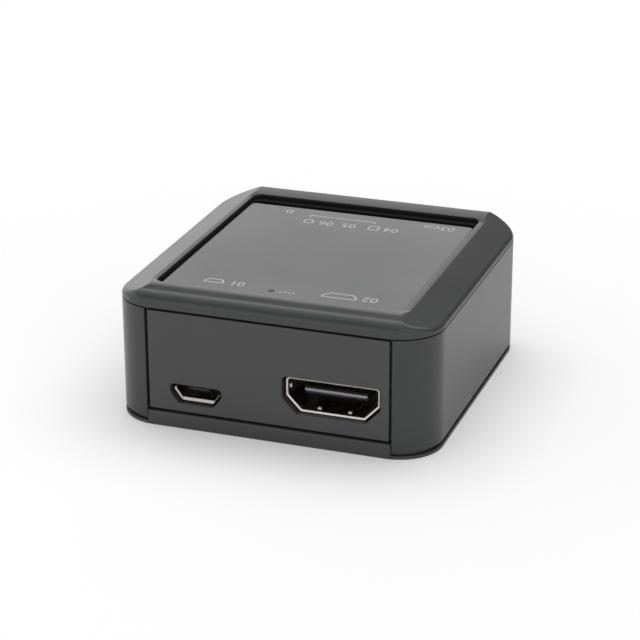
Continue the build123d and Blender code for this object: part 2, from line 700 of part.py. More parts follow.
def micro_usb_shell():
    """Stamped steel shell with its four tabs."""
    body = along_y(usb_outline(0, 0.45), -MOUTH_Y, USB_LENGTH - MOUTH_Y)
    body -= along_y(usb_outline(USB_WALL, 0.2), -DEPTH, 0)
    return Pos(USB_X, 0, 0) * body + usb_tabs()


def usb_strips():
    """Five contacts under the tongue, bent down to the board."""
    back = USB_LENGTH - MOUTH_Y
    strips = []
    for k in range(5):
        x0 = USB_X + (k - 2) * USB_PITCH - 0.15
        x1 = x0 + 0.3
        strip = block(x0, x1, 0.9 - MOUTH_Y, back + 0.6, USB_TONGUE_Z - STRIP_THICKNESS, USB_TONGUE_Z)
        strip += block(x0, x1, back + 0.5, back + 0.6, BOARD_TOP_Z, USB_TONGUE_Z)
        strips += [strip + block(x0, x1, back + 0.5, back + 1.3, BOARD_TOP_Z, BOARD_TOP_Z + STRIP_THICKNESS)]
    return strips


def micro_usb_contacts():
    """The five contacts as separate pieces."""
    return group(usb_strips())


def micro_usb_insulator():
    """Rear block and thin tongue."""
    back = USB_LENGTH - MOUTH_Y
    tongue = block(USB_X - 1.75, USB_X + 1.75, 0.6 - MOUTH_Y, back, USB_TONGUE_Z, USB_TONGUE_Z + 0.55)
    tongue = chamfer(tongue.faces().sort_by(Axis.Y)[0].edges(), 0.12)
    rear = along_y(usb_outline(USB_WALL + SHELL_FIT, 0.17), back - 1.0, back + 0.4)
    return tongue + Pos(USB_X, 0, 0) * rear - usb_strips()


# Optical output

def optical_housing():
    """Port block: chamfered mouth, shutter chamber, ferrule socket and hinge pin holes."""
    x0, x1 = OPTICAL_X - OPTICAL_HALF, OPTICAL_X + OPTICAL_HALF
    body = block(x0, x1, OPTICAL_BACK_Y, OPTICAL_FACE_Y, BOARD_TOP_Z, OPTICAL_TOP_Z)
    port_x0, port_x1 = OPTICAL_X - PORT_HALF, OPTICAL_X + PORT_HALF
    mouth = block(port_x0, port_x1, PORT_LIP_BACK_Y - 1, DEPTH, PORT_BOTTOM_Z, PORT_TOP_Z)
    body -= chamfer(mouth.edges().filter_by(Axis.Y).sort_by(Axis.Z)[-2:], 1.1)
    chamber_x0, chamber_x1 = OPTICAL_X - CAVITY_HALF, OPTICAL_X + CAVITY_HALF
    body -= block(chamber_x0, chamber_x1, CAVITY_BACK_Y, PORT_LIP_BACK_Y, PORT_BOTTOM_Z, CAVITY_TOP_Z)
    body += bar_y(2.0, OPTICAL_X, CAVITY_BACK_Y - 0.2, CAVITY_BACK_Y + 2.2, FERRULE_Z)
    body -= bar_y(1.25, OPTICAL_X, OPTICAL_BACK_Y, CAVITY_BACK_Y + 2.2, FERRULE_Z)
    return body - bar_x(HINGE_PIN_R + 0.01, x0 - 1, x1 + 1, HINGE_Y, HINGE_Z)


def optical_shutter():
    """Hinged flap: plate, two barrels on the pin, and the gap between them for the spring."""
    flap_back, flap_front = HINGE_Y - 0.3, HINGE_Y + 0.5
    body = block(OPTICAL_X - 3.9, OPTICAL_X + 3.9, flap_back, flap_front, PORT_BOTTOM_Z + 0.15, HINGE_Z)
    body += bar_x(0.6, OPTICAL_X - 3.9, OPTICAL_X + 3.9, HINGE_Y, HINGE_Z)
    body -= block(OPTICAL_X - 1.3, OPTICAL_X + 1.3, HINGE_Y - 1, HINGE_Y + 1, 12.45, 15)
    return body - bar_x(HINGE_PIN_R + 0.05, OPTICAL_X - 5, OPTICAL_X + 5, HINGE_Y, HINGE_Z)


def shutter_pin():
    """Hinge pin held in the housing's side walls."""
    half = OPTICAL_HALF - 0.1
    return bar_x(HINGE_PIN_R, OPTICAL_X - half, OPTICAL_X + half, HINGE_Y, HINGE_Z)


def shutter_spring():
    """Torsion spring round the pin: a long leg under the chamber's roof and a short one below."""
    coil = Helix(SPRING_PITCH, SPRING_PITCH * SPRING_TURNS, SPRING_R, lefthand=True)
    fixed_leg = Line(coil @ 0 - 2.2 * (coil % 0), coil @ 0)
    free_leg = Line(coil @ 1, coil @ 1 + 0.55 * (coil % 1))
    path = Wire([fixed_leg, coil, free_leg])
    section = Plane(origin=path @ 0, z_dir=path % 0) * Circle(SPRING_WIRE_R)
    start = Pos(OPTICAL_X - SPRING_PITCH * SPRING_TURNS / 2, HINGE_Y, HINGE_Z)
    return start * Rot(180, 0, 0) * Rot(0, 90, 0) * sweep(section, path=path)


def optical_emitter():
    """Light emitter behind the ferrule socket, its dome reaching into the bore."""
    body = block(OPTICAL_X - 2.6, OPTICAL_X + 2.6, 10.9, OPTICAL_BACK_Y, BOARD_TOP_Z, 11.6)
    dome = bar_y(1.1, OPTICAL_X, OPTICAL_BACK_Y - 0.2, EMITTER_TIP_Y, FERRULE_Z)
    return body + fillet(dome.edges().sort_by(Axis.Y)[-1], 0.8)


# Stereo jack

def jack_strips():
    """Four contact springs: each stands beside the bore and ends in a foot on the board."""
    strips = []
    for side, y in ((-1, 13.6), (1, 15.2), (-1, 17.4), (1, 19.6)):
        x0, x1 = sorted((JACK_X + side * JACK_HALF, JACK_X + side * (JACK_HALF - 0.3)))
        foot0, foot1 = sorted((JACK_X + side * JACK_HALF, JACK_X + side * (JACK_HALF + 0.9)))
        upright = block(x0, x1, y - 0.6, y + 0.6, BOARD_TOP_Z, 9.6)
        tip0, tip1 = sorted((JACK_X + side * (JACK_HALF - 0.3), JACK_X + side * (JACK_BORE_R + 0.1)))
        strips += [
            upright
            + block(foot0, foot1, y - 0.6, y + 0.6, BOARD_TOP_Z, BOARD_TOP_Z + 0.25)
            + block(tip0, tip1, y - 0.6, y + 0.6, 7.8, 8.2)
        ]
    return strips


def audio_jack_contacts():
    """The four contact springs as separate pieces."""
    return group(jack_strips())


def audio_jack_body():
    """Moulded body with its round nozzle, bored for the sleeve and for the plug."""
    body = block(JACK_X - JACK_HALF, JACK_X + JACK_HALF, JACK_FRONT_Y, JACK_BACK_Y, BOARD_TOP_Z, 11.4)
    body = chamfer(body.faces().sort_by(Axis.Z)[-1].edges(), 0.4)
    body += bar_y(JACK_NOZZLE_R, JACK_X, JACK_BACK_Y - 0.2, JACK_NOZZLE_Y, JACK_Z)
    body -= bar_y(JACK_CHAMBER_R, JACK_X, JACK_FRONT_Y + 0.9, DEPTH, JACK_Z)
    body -= bar_y(JACK_SLEEVE_R + 0.02, JACK_X, JACK_SLEEVE_Y - 0.1, DEPTH, JACK_Z)
    return body - jack_strips()


def audio_jack_sleeve():
    """Turned metal sleeve with its flange on the nozzle's face."""
    body = bar_y(JACK_SLEEVE_R, JACK_X, JACK_SLEEVE_Y, JACK_NOZZLE_Y + 0.1, JACK_Z)
    body += bar_y(JACK_FLANGE_R, JACK_X, JACK_NOZZLE_Y + 0.02, JACK_FACE_Y, JACK_Z)
    body -= bar_y(JACK_BORE_R, JACK_X, JACK_FRONT_Y, DEPTH, JACK_Z)
    return chamfer(body.faces().sort_by(Axis.Y)[-1].edges(), 0.08)


def hdmi_parts(x, side):
    """Shell, insulator and contacts of one HDMI socket. Side -1 turns it to the rear."""
    pieces = [hdmi_shell(), hdmi_insulator(), hdmi_contacts()]
    pieces = [Pos(x, 0, 0) * (piece if side > 0 else to_rear(piece)) for piece in pieces]
    pieces[0] += hdmi_tabs(x, side)
    return pieces


def build_nodes():
    """Every node of the converter by name."""
    in_shell, in_insulator, in_contacts = hdmi_parts(HDMI_IN_X, 1)
    out_shell, out_insulator, out_contacts = hdmi_parts(HDMI_OUT_X, -1)
    return {
        "base_cover": base_cover(),
        "side_frame": side_frame(),
        "top_cover": top_cover(),
        "label_plate": label_plate(),
        "light_pipe": light_pipe(),
        "front_panel": front_panel(),
        "rear_panel": rear_panel(),
        "case_screws": case_screws(),
        "circuit_board": circuit_board(),
        "board_screws": board_screws(),
        "main_chip": main_chip(),
        "main_chip_leads": main_chip_leads(),
        "audio_chip": audio_chip(),
        "memory_chip": memory_chip(),
        "voltage_regulator": voltage_regulator(),
        "power_inductor": power_inductor(),
        "crystal": crystal(),
        "electrolytic_capacitors": electrolytic_capacitors(),
        "chip_capacitors": chip_capacitors(),
        "chip_resistors": chip_resistors(),
        "status_led": status_led(),
        "hdmi_in_shell": in_shell,
        "hdmi_in_insulator": in_insulator,
        "hdmi_in_contacts": in_contacts,
        "hdmi_out_shell": out_shell,
        "hdmi_out_insulator": out_insulator,
        "hdmi_out_contacts": out_contacts,
        "micro_usb_shell": micro_usb_shell(),
        "micro_usb_insulator": micro_usb_insulator(),
        "micro_usb_contacts": micro_usb_contacts(),
        "optical_housing": optical_housing(),
        "optical_shutter": optical_shutter(),
        "shutter_pin": shutter_pin(),
        "shutter_spring": shutter_spring(),
        "optical_emitter": optical_emitter(),
        "audio_jack_body": audio_jack_body(),
        "audio_jack_sleeve": audio_jack_sleeve(),
        "audio_jack_contacts": audio_jack_contacts(),
    }


os.makedirs("parts", exist_ok=True)
for node, shape in build_nodes().items():
    export_step(shape, f"parts/{node}.step")
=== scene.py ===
"""Looks of the HDMI audio converter.

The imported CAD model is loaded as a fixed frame. Its casing, sockets and screws are stood in for
by rounded and detailed pieces in the same places, and every surface gets a procedural finish.
Sizes in the classes are millimetres in the frame of the part: X right, Y to the rear, Z up.
"""

import logging
import math
from dataclasses import dataclass
from enum import Enum
from functools import cache
from typing import Any, Callable, Iterable, Sequence

import bmesh
import bpy
from mathutils import Matrix, Vector


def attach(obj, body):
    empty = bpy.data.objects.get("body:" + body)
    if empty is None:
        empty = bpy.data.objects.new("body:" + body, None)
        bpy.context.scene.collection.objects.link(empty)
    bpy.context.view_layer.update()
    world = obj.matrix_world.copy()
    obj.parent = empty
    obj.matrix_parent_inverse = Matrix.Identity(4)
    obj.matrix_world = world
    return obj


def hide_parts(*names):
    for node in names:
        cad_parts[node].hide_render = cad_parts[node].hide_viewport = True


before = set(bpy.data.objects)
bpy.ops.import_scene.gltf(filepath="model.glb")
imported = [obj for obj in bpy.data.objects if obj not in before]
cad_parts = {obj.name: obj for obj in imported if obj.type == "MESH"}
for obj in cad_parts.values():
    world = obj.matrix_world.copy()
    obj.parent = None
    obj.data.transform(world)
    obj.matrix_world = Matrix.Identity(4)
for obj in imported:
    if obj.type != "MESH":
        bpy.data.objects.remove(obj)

LOG = logging.getLogger("converter")
MAIN_BODY = "converter"
SHUTTER_BODY = "shutter"
MM = 0.001
WELD_MM = 0.002
MERGE_MM = 0.0005
COPLANAR_DEG = 0.2
SHARP_DEG = 32.0
BREAK_DEG = 30.0
FLAT_WEIGHT = 90
LEAST_MITRE = 0.3
GRAIN_DETAIL = 2.0
PATCH_DETAIL = 0.5
PATCH_SPAN = (0.2, 0.8)
WHITE = (1.0, 1.0, 1.0, 1.0)

# Places of the colour sockets on a Mix node, whose names are shared with its other types.
MIX_LOW, MIX_HIGH, MIX_COLOUR = 6, 7, 2

Point = tuple[float, float]
Corner = tuple[float, float, float]
Path = tuple[Point, ...]
Rows = tuple[tuple[float, ...], ...]
Colour = tuple[float, float, float, float]
Piece = bpy.types.Object
Form = bmesh.types.BMesh
Change = Callable[[Form], None]


class Side(Enum):
    """The end of the box that a socket opens to, as a sign for its X and Y."""

    FRONT = 1
    REAR = -1

    def turn_deg(self) -> float:
        """Turn about Z that takes a front socket to this end."""
        return 0.0 if self is Side.FRONT else 180.0


def linear(hex_colour: str) -> Colour:
    """Turns an sRGB hex colour into the linear colour that shaders read.

    Args:
        hex_colour: six hex digits, such as "37383A".

    Returns:
        Linear red, green, blue and an alpha of 1.
    """
    channels = [int(hex_colour[k:k + 2], 16) / 255 for k in (0, 2, 4)]
    curve = [c / 12.92 if c <= 0.04045 else ((c + 0.055) / 1.055) ** 2.4 for c in channels]
    return (curve[0], curve[1], curve[2], 1.0)


def feed(node: Any, inputs: dict[Any, Any]) -> None:
    """Sets or links inputs of a node.

    Args:
        node: the node.
        inputs: socket name or index to a value, or to the output socket that feeds it.
    """
    for name, value in inputs.items():
        if isinstance(value, bpy.types.NodeSocket):
            node.id_data.links.new(value, node.inputs[name])
        else:
            node.inputs[name].default_value = value


def add_node(tree: bpy.types.NodeTree, kind: str, inputs: dict[Any, Any] | None = None, **fields: Any) -> Any:
    """Adds one node to a tree, with its settings and its links.

    Args:
        tree: the node tree.
        kind: Blender's name of the node type.
        inputs: what feed() takes.
        fields: the node's own settings.

    Returns:
        The new node.
    """
    node = tree.nodes.new(kind)
    for name, value in fields.items():
        setattr(node, name, value)
    feed(node, inputs or {})
    return node


def empty_tree(owner: Any) -> bpy.types.NodeTree:
    """Gives a material or a world an empty node tree, and returns it."""
    owner.use_nodes = True
    owner.node_tree.nodes.clear()
    return owner.node_tree


def calc(operation: str, first: Any, second: Any = 0.0) -> Any:
    """Calculates with a socket and a second socket or number, and returns the result's socket."""
    return add_node(first.id_data, "ShaderNodeMath", {0: first, 1: second}, operation=operation).outputs[0]


def noise(place: Any, size_mm: float, detail: float = GRAIN_DETAIL) -> Any:
    """Adds a noise pattern of a given width at a coordinate socket, and returns its height's socket."""
    inputs = {"Vector": place, "Scale": 1 / (size_mm * MM), "Detail": detail}
    return add_node(place.id_data, "ShaderNodeTexNoise", inputs).outputs["Fac"]


def rise(value: Any, meet: Point, levels: Point = (0.0, 1.0), kind: str = "SMOOTHSTEP") -> Any:
    """Adds a change from one level to another while a value passes between two limits.

    Args:
        value: the socket with the value.
        meet: where the change begins and ends.
        levels: the level before it and the level after it.
        kind: Blender's name of the change's curve.

    Returns:
        The socket with the level.
    """
    names = ("From Min", "From Max", "To Min", "To Max")
    inputs = {"Value": value, **dict(zip(names, (*meet, *levels)))}
    return add_node(value.id_data, "ShaderNodeMapRange", inputs, interpolation_type=kind).outputs["Result"]


def blend(share: Any, low: Any, high: Any) -> Any:
    """Mixes two strengths, each a socket or a number, by a share from 0 to 1, and returns a socket."""
    return add_node(share.id_data, "ShaderNodeMix", {"Factor": share, "A": low, "B": high}).outputs[0]


def blend_colour(share: Any, low: Any, high: Any) -> Any:
    """Mixes two colours, each a socket or a value, by a share from 0 to 1, and returns a socket."""
    inputs = {"Factor": share, MIX_LOW: low, MIX_HIGH: high}
    return add_node(share.id_data, "ShaderNodeMix", inputs, data_type="RGBA").outputs[MIX_COLOUR]


def bump(shader: Any, height: Any, relief_mm: float) -> None:
    """Bumps a shader's surface by a height pattern from 0 to 1."""
    inputs = {"Height": height, "Distance": relief_mm * MM, "Strength": 1.0}
    feed(shader, {"Normal": add_node(shader.id_data, "ShaderNodeBump", inputs).outputs["Normal"]})


@dataclass(frozen=True)
class Finish:
    """What every finish shares: a name, a base colour and the way its material is made."""

    name: str
    colour: str

    @cache
    def make(self) -> bpy.types.Material:
        """Makes the material, a Principled shader dressed by the kind of finish, once for all pieces.

        Returns:
            The material.
        """
        material = bpy.data.materials.new(self.name)
        tree = empty_tree(material)
        shader = add_node(tree, "ShaderNodeBsdfPrincipled")
        add_node(tree, "ShaderNodeOutputMaterial", {"Surface": shader.outputs["BSDF"]})
        self.dress(shader, add_node(tree, "ShaderNodeTexCoord").outputs["Object"])
        return material

    def dress(self, shader: Any, place: Any) -> None:
        """Gives the shader its pattern and its own values.

        Args:
            shader: the material's Principled shader.
            place: the Object coordinate socket.
        """
        raise NotImplementedError


@dataclass(frozen=True)
class GrainedFinish(Finish):
    """A finish with soft patches of colour and roughness, and a fine grain in relief."""

    deep_colour: str
    roughness: float
    roughness_swing: float
    grain_mm: float
    relief_mm: float
    slot: str
    patch_mm: float = 2.0

    def grain_place(self, place: Any) -> Any:
        """Returns the coordinate socket that the grain follows."""
        return place

    def dress(self, shader: Any, place: Any) -> None:
        """Adds the patches and the grain."""
        patches = noise(place, self.patch_mm, PATCH_DETAIL)
        swing = (self.roughness - self.roughness_swing, self.roughness + self.roughness_swing)
        colour = blend_colour(patches, linear(self.deep_colour), linear(self.colour))
        feed(shader, {"Base Color": colour, "Roughness": rise(patches, PATCH_SPAN, swing)})
        bump(shader, noise(self.grain_place(place), self.grain_mm), self.relief_mm)


@dataclass(frozen=True)
class MouldedPlastic(GrainedFinish):
    """Injection-moulded thermoplastic with a spark-eroded grain."""

    patch_mm: float = 9.0
    ior: float = 1.5
    specular: float = 0.5

    def dress(self, shader: Any, place: Any) -> None:
        """Adds the plastic's gloss to its patches and its pebbled grain."""
        super().dress(shader, place)
        feed(shader, {"IOR": self.ior, "Specular IOR Level": self.specular})


@dataclass(frozen=True)
class PrintedFilm(MouldedPlastic):
    """Clear film over a reverse print, made a little lighter towards the plate's edges by a painted highlight.
    """

    edge_highlight_colour: str = "4A4B4C"
    plain_mm: float = 9.0
    edge_mm: float = 20.0

    def dress(self, shader: Any, place: Any) -> None:
        """Adds the print to the film, with a painted highlight that lightens it along the edges."""
        super().dress(shader, place)
        parts = add_node(shader.id_data, "ShaderNodeSeparateXYZ", {"Vector": place}).outputs
        reach = calc("MAXIMUM", calc("ABSOLUTE", parts["X"]), calc("ABSOLUTE", parts["Y"]))
        # Painted highlight: the print turns lighter towards the plate's edges.
        painted_highlight = rise(reach, (self.plain_mm * MM, self.edge_mm * MM))
        toned = shader.inputs["Base Color"].links[0].from_socket
        feed(shader, {"Base Color": blend_colour(painted_highlight, toned, linear(self.edge_highlight_colour))})


@dataclass(frozen=True)
class SheetMetal(GrainedFinish):
    """Stamped or turned metal with fine draw lines along one axis."""

    patch_mm: float = 2.5
    stretch: Corner = (1.0, 0.06, 1.0)

    def grain_place(self, place: Any) -> Any:
        """Draws the grain out into lines."""
        return add_node(place.id_data, "ShaderNodeMapping", {"Vector": place, "Scale": self.stretch}).outputs[0]

    def dress(self, shader: Any, place: Any) -> None:
        """Makes the patched and drawn surface metallic."""
        super().dress(shader, place)
        feed(shader, {"Metallic": 1.0})


@dataclass(frozen=True)
class ClearResin(GrainedFinish):
    """Polished clear or tinted moulding that light passes through, with faint flow marks."""

    transmission: float = 0.9
    ior: float = 1.49

    def dress(self, shader: Any, place: Any) -> None:
        """Lets light through the patched surface."""
        super().dress(shader, place)
        feed(shader, {"Transmission Weight": self.transmission, "IOR": self.ior})


@dataclass(frozen=True)
class BoardLaminate(Finish):
    """Glass-epoxy board under solder mask, with copper runs that show as lighter lines."""

    roughness: float
    relief_mm: float
    slot: str
    copper_colour: str = "2F6B45"
    run_mm: float = 0.9
    run_spread: float = 0.55
    run_edge: Point = (0.78, 0.84)
    ior: float = 1.55

    def dress(self, shader: Any, place: Any) -> None:
        """Adds square copper runs under the mask's glossy skin."""
        cells = add_node(
            shader.id_data,
            "ShaderNodeTexVoronoi",
            {"Vector": place, "Scale": 1 / (self.run_mm * MM), "Randomness": self.run_spread},
            distance="CHEBYCHEV",
            feature="F2",
        )
        runs = rise(cells.outputs["Distance"], self.run_edge, kind="LINEAR")
        colour = blend_colour(runs, linear(self.colour), linear(self.copper_colour))
        feed(shader, {"Base Color": colour, "Roughness": self.roughness, "IOR": self.ior})
        bump(shader, runs, self.relief_mm)


# Black ABS of the case: spark-eroded, so it looks evenly satin. The real grain of about 0.1 mm is
# drawn at 0.3 mm, which is as fine as a picture of the whole box can show.
CASE_ABS = MouldedPlastic("moulded_black_abs", "3A3B3B", "353636", 0.26, 0.015, 0.3, 0.0022, "case_plastic")

# The same ABS on the flat socket panels, from a tool face of its own that leaves it duller. Its colour is
# lighter than the case's: painted light for the light that the floor throws up on the panels.
PANEL_LIT_ABS = MouldedPlastic("panel_abs_painted_light", "454545", "404040", 0.36, 0.03, 0.3, 0.0018, "panel_plastic")

# The base, moulded apart. Its colour is a shade lighter than the lid's: painted light for the light that the
# floor throws on its lip.
BASE_LIT_ABS = MouldedPlastic("base_abs_painted_light", "434342", "3E3E3D", 0.36, 0.03, 0.3, 0.0022, "case_plastic")

# The walls and ledges of the sunk field, in painted shade: a near-black colour and a weak sheen stand in for
# the shade that falls in the recess. The tool was left rough there, so they are also matt.
RECESS_SHADE_ABS = MouldedPlastic(
    "recess_painted_shade_abs", "171717", "131313", 0.75, 0.05, 0.3, 0.004, "case_plastic", specular=0.12
)

# Polycarbonate label film over a black reverse print: smoother than the case around it, and made lighter
# towards its edges by a painted highlight.
LABEL_FILM = PrintedFilm("label_polycarbonate", "3F4041", "3A3B3C", 0.16, 0.02, 0.45, 0.0008, "label_film")

# Pale grey screen-printing ink, slightly proud of the film and a little uneven in cover.
LABEL_INK = MouldedPlastic("screen_print_ink", "C9CACB", "B2B3B5", 0.5, 0.05, 0.2, 0.001, "label_film")

# Glass-filled black LCP of the socket carriers: matt, slightly brownish.
SOCKET_LCP = MouldedPlastic("black_lcp", "1E1C1B", "171615", 0.5, 0.05, 0.25, 0.002, "socket_plastic")

# Polished black ABS of the shutter flap, unevenly rubbed by plugs.
SHUTTER_ABS = MouldedPlastic("shutter_abs", "333335", "2A2A2C", 0.38, 0.08, 0.4, 0.002, "shutter_plastic")

# Nickel-plated stamped steel: bright and slightly warm, with draw lines from the press tool.
SOCKET_NICKEL = SheetMetal(
    "nickel_plated_steel", "D8D3D0", "C4BFBC", 0.24, 0.06, 0.12, 0.0015, "socket_steel"
)

# Cellular rubber ring around a socket, behind its panel: it keeps dust and light out.
GASKET_FOAM = MouldedPlastic(
    "cellular_rubber", "161616", "0F0F0F", 0.9, 0.05, 0.4, 0.01, "socket_plastic", specular=0.1
)

# Bare stamped steel of the stiffening plate in the tongue: dull and a little blue.
PLATE_STEEL = SheetMetal("bare_stamped_steel", "A5A8AC", "8C8F94", 0.45, 0.08, 0.12, 0.002, "socket_steel")

# Gold flash on the wiping ends of the contacts: thin, so it looks pale.
CONTACT_GOLD = SheetMetal("gold_flashed_bronze", "B79C6A", "94794A", 0.36, 0.05, 0.1, 0.001, "contact_gold")

# Tin on the solder tails and chip leads: grey and dull.
TIN = SheetMetal("tinned_copper", "C6C7C8", "ADAFB1", 0.35, 0.07, 0.15, 0.002, "tinned_leads")

# Bright nickel on the turned jack sleeve, with turning marks round its axis.
JACK_NICKEL = SheetMetal(
    "turned_nickel", "D5D2CD", "C3C0BB", 0.18, 0.04, 0.1, 0.001, "jack_nickel", stretch=(0.1, 1.0, 0.1)
)

# Zinc-plated steel of the screws and of the shutter's pin and spring: mid grey, slightly blue.
SCREW_ZINC = SheetMetal("zinc_plated_steel", "8E9096", "74767C", 0.3, 0.08, 0.2, 0.003, "screw_steel")

# Drawn aluminium cans with fine vertical draw lines.
CAN_ALUMINIUM = SheetMetal(
    "drawn_aluminium", "DCDDDE", "C9CACC", 0.3, 0.05, 0.15, 0.002, "can_aluminium", stretch=(1.0, 1.0, 0.08)
)

# Green solder mask over copper on glass-epoxy: glossy, with faint raised runs.
BOARD_MASK = BoardLaminate("green_solder_mask", "1B4A2C", 0.3, 0.02, "board_laminate")

# Black moulding compound of the chips: matt with a speckle of silica filler.
CHIP_EPOXY = MouldedPlastic("chip_epoxy", "2A2A2B", "202021", 0.55, 0.08, 0.12, 0.003, "chip_resin")

# Sintered ferrite of the inductor: dark grey and slightly grainy.
FERRITE = MouldedPlastic("sintered_ferrite", "3B3A39", "2E2D2C", 0.62, 0.08, 0.15, 0.004, "ferrite")

# Barium titanate ceramic capacitors: tan, fired, faintly glossy.
CERAMIC = MouldedPlastic("titanate_ceramic", "A98A62", "927550", 0.4, 0.08, 0.2, 0.002, "ceramic")

# Black glaze over the resistor film.
RESISTOR_GLAZE = MouldedPlastic("resistor_glaze", "1C1C20", "141417", 0.22, 0.04, 0.3, 0.001, "resistor_glaze")

# White silicone-filled package of the indicator diode.
LED_SILICONE = MouldedPlastic("led_silicone", "E8E6DA", "DCD9C8", 0.35, 0.05, 0.3, 0.001, "led_resin")

# Clear acrylic light pipe, polished, smoked so that it looks dark while unlit.
SMOKED_ACRYLIC = ClearResin("smoked_acrylic", "222326", "1B1C1E", 0.08, 0.02, 0.6, 0.0004, "clear_acrylic")

# Red-tinted epoxy round the optical emitter.
RED_EPOXY = ClearResin(
    "red_epoxy", "9A1A18", "7E1210", 0.12, 0.03, 0.5, 0.0005, "emitter_resin", transmission=0.7, ior=1.54
)


@dataclass(frozen=True)
class Rounding:
    """How far the sharp edges of a piece are broken."""

    width_mm: float
    segments: int


def new_object(name: str, data: bpy.types.ID) -> Piece:
    """Puts a mesh, a text or a camera into the scene as an object at the origin."""
    piece = bpy.data.objects.new(name, data)
    bpy.context.scene.collection.objects.link(piece)
    return piece


def plain_mesh(piece: Piece) -> bpy.types.Mesh:
    """Makes a plain mesh of what an object's modifiers or its text come to."""
    graph = bpy.context.evaluated_depsgraph_get()
    graph.update()
    return bpy.data.meshes.new_from_object(piece.evaluated_get(graph), depsgraph=graph)


def modify(piece: Piece, name: str, kind: str, inputs: dict[str, Any] | None = None, **fields: Any) -> Piece:
    """Replaces a piece's mesh by what a modifier makes of it.

    Args:
        piece: the object.
        name: the modifier's name.
        kind: Blender's name of the modifier type.
        inputs: socket identifier to value, where a node tree takes them.
        fields: the modifier's own settings.

    Returns:
        The same object, with a plain mesh and no modifier.
    """
    modifier = piece.modifiers.new(name, kind)
    for key, value in fields.items():
        setattr(modifier, key, value)
    for key, value in (inputs or {}).items():
        modifier[key] = value
    mesh = plain_mesh(piece)
    piece.modifiers.clear()
    piece.data = mesh
    return piece


def close_form(name: str, form: Form) -> Piece:
    """Makes an object of an edited form, its faces turned outwards.

    Args:
        name: the object's name.
        form: the form, which is freed.

    Returns:
        The new object.
    """
    bmesh.ops.recalc_face_normals(form, faces=form.faces[:])
    mesh = bpy.data.meshes.new(name)
    form.to_mesh(mesh)
    form.free()
    return new_object(name, mesh)


def shade(piece: Piece, rounding: Rounding | None = None) -> Piece:
    """Breaks a piece's sharp edges and shades it smooth between the edges that stay.

    Args:
        piece: the object, with a closed mesh.
        rounding: the edge break, or None to keep the edges.

    Returns:
        The same object, with a plain mesh.
    """
    if rounding:
        modify(
            piece, "edge_break", "BEVEL", limit_method="ANGLE", angle_limit=math.radians(BREAK_DEG),
            width=rounding.width_mm * MM, segments=rounding.segments, use_clamp_overlap=True,
            miter_outer="MITER_ARC",
        )
    form = bmesh.new()
    form.from_mesh(piece.data)
    for face in form.faces:
        face.smooth = True
    for edge in form.edges:
        edge.smooth = len(edge.link_faces) == 2 and edge.calc_face_angle(0.0) < math.radians(SHARP_DEG)
    form.to_mesh(piece.data)
    form.free()
    return modify(piece, "flat_faces_first", "WEIGHTED_NORMAL", keep_sharp=True, weight=FLAT_WEIGHT)


def cad_copy(node: str, name: str, rounding: Rounding | None = None, soften: Change | None = None) -> Piece:
    """Copies a CAD node, merges its triangles into faces and rounds its edges.

    Args:
        node: the CAD node.
        name: the new piece's name.
        rounding: the edge break, or None.
        soften: a change to the merged mesh that comes before the edge break, or None.

    Returns:
        The new piece, not yet on a body.
    """
    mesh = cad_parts[node].data.copy()
    mesh.name = name
    mesh.materials.clear()
    form = bmesh.new()
    form.from_mesh(mesh)
    bmesh.ops.remove_doubles(form, verts=form.verts[:], dist=WELD_MM * MM)
    bmesh.ops.dissolve_degenerate(form, dist=WELD_MM * MM, edges=form.edges[:])
    flat = math.radians(COPLANAR_DEG)
    bmesh.ops.dissolve_limit(form, angle_limit=flat, verts=form.verts[:], edges=form.edges[:])
    if soften:
        soften(form)
    form.to_mesh(mesh)
    form.free()
    if "custom_normal" in mesh.attributes:
        mesh.attributes.remove(mesh.attributes["custom_normal"])
    return shade(new_object(name, mesh), rounding)


def circle(x: float, y: float, radius: float, count: int) -> list[Point]:
    """Points round a circle, anticlockwise."""
    steps = [2 * math.pi * k / count for k in range(count)]
    return [(x + radius * math.cos(a), y + radius * math.sin(a)) for a in steps]


def rectangle(x0: float, y0: float, x1: float, y1: float) -> list[Point]:
    """Corners of a rectangle, anticlockwise."""
    return [(x0, y0), (x1, y0), (x1, y1), (x0, y1)]


def rounded(corners: Sequence[Point], radius: float, steps: int = 6) -> list[Point]:
    """Rounds every corner of a closed convex outline with an arc.

    Args:
        corners: the sharp corners in order.
        radius: radius of the arcs.
        steps: parts of each arc.

    Returns:
        The points of the rounded outline.
    """
    points = []
    for k, corner in enumerate(corners):
        here = Vector(corner)
        back = (Vector(corners[k - 1]) - here).normalized()
        ahead = (Vector(corners[(k + 1) % len(corners)]) - here).normalized()
        half = back.angle(ahead) / 2
        inward = (back + ahead).normalized()
        centre = here + inward * (radius / math.sin(half))
        start = here + back * (radius / math.tan(half)) - centre
        sweep = math.pi / 2 - half
        sign = 1 if start.x * -inward.y + start.y * inward.x > 0 else -1
        middle = math.atan2(-inward.y, -inward.x)
        for step in range(steps + 1):
            angle = middle + sign * sweep * (2 * step / steps - 1)
            points.append((centre.x + radius * math.cos(angle), centre.y + radius * math.sin(angle)))
    return points


def mitres(path: Sequence[Point], closed: bool = False) -> list[tuple[Vector, Vector, float]]:
    """Finds how a line of even width turns at each point of a path.

    Args:
        path: the points, in millimetres.
        closed: True where the path runs back to its first point.

    Returns:
        Each point, the direction across the line there, to its left, and how much of that
        direction counts as the line's width.
    """
    bends = []
    for k, point in enumerate(path):
        here = Vector(point)
        into = (here - Vector(path[k - 1])).normalized() if closed or k else None
        last = k == len(path) - 1 and not closed
        out = None if last else (Vector(path[(k + 1) % len(path)]) - here).normalized()
        along = ((into or out) + (out or into)).normalized()
        across = Vector((-along.y, along.x))
        edge = out or into
        bends.append((here, across, max(LEAST_MITRE, across.dot(Vector((-edge.y, edge.x))))))
    return bends


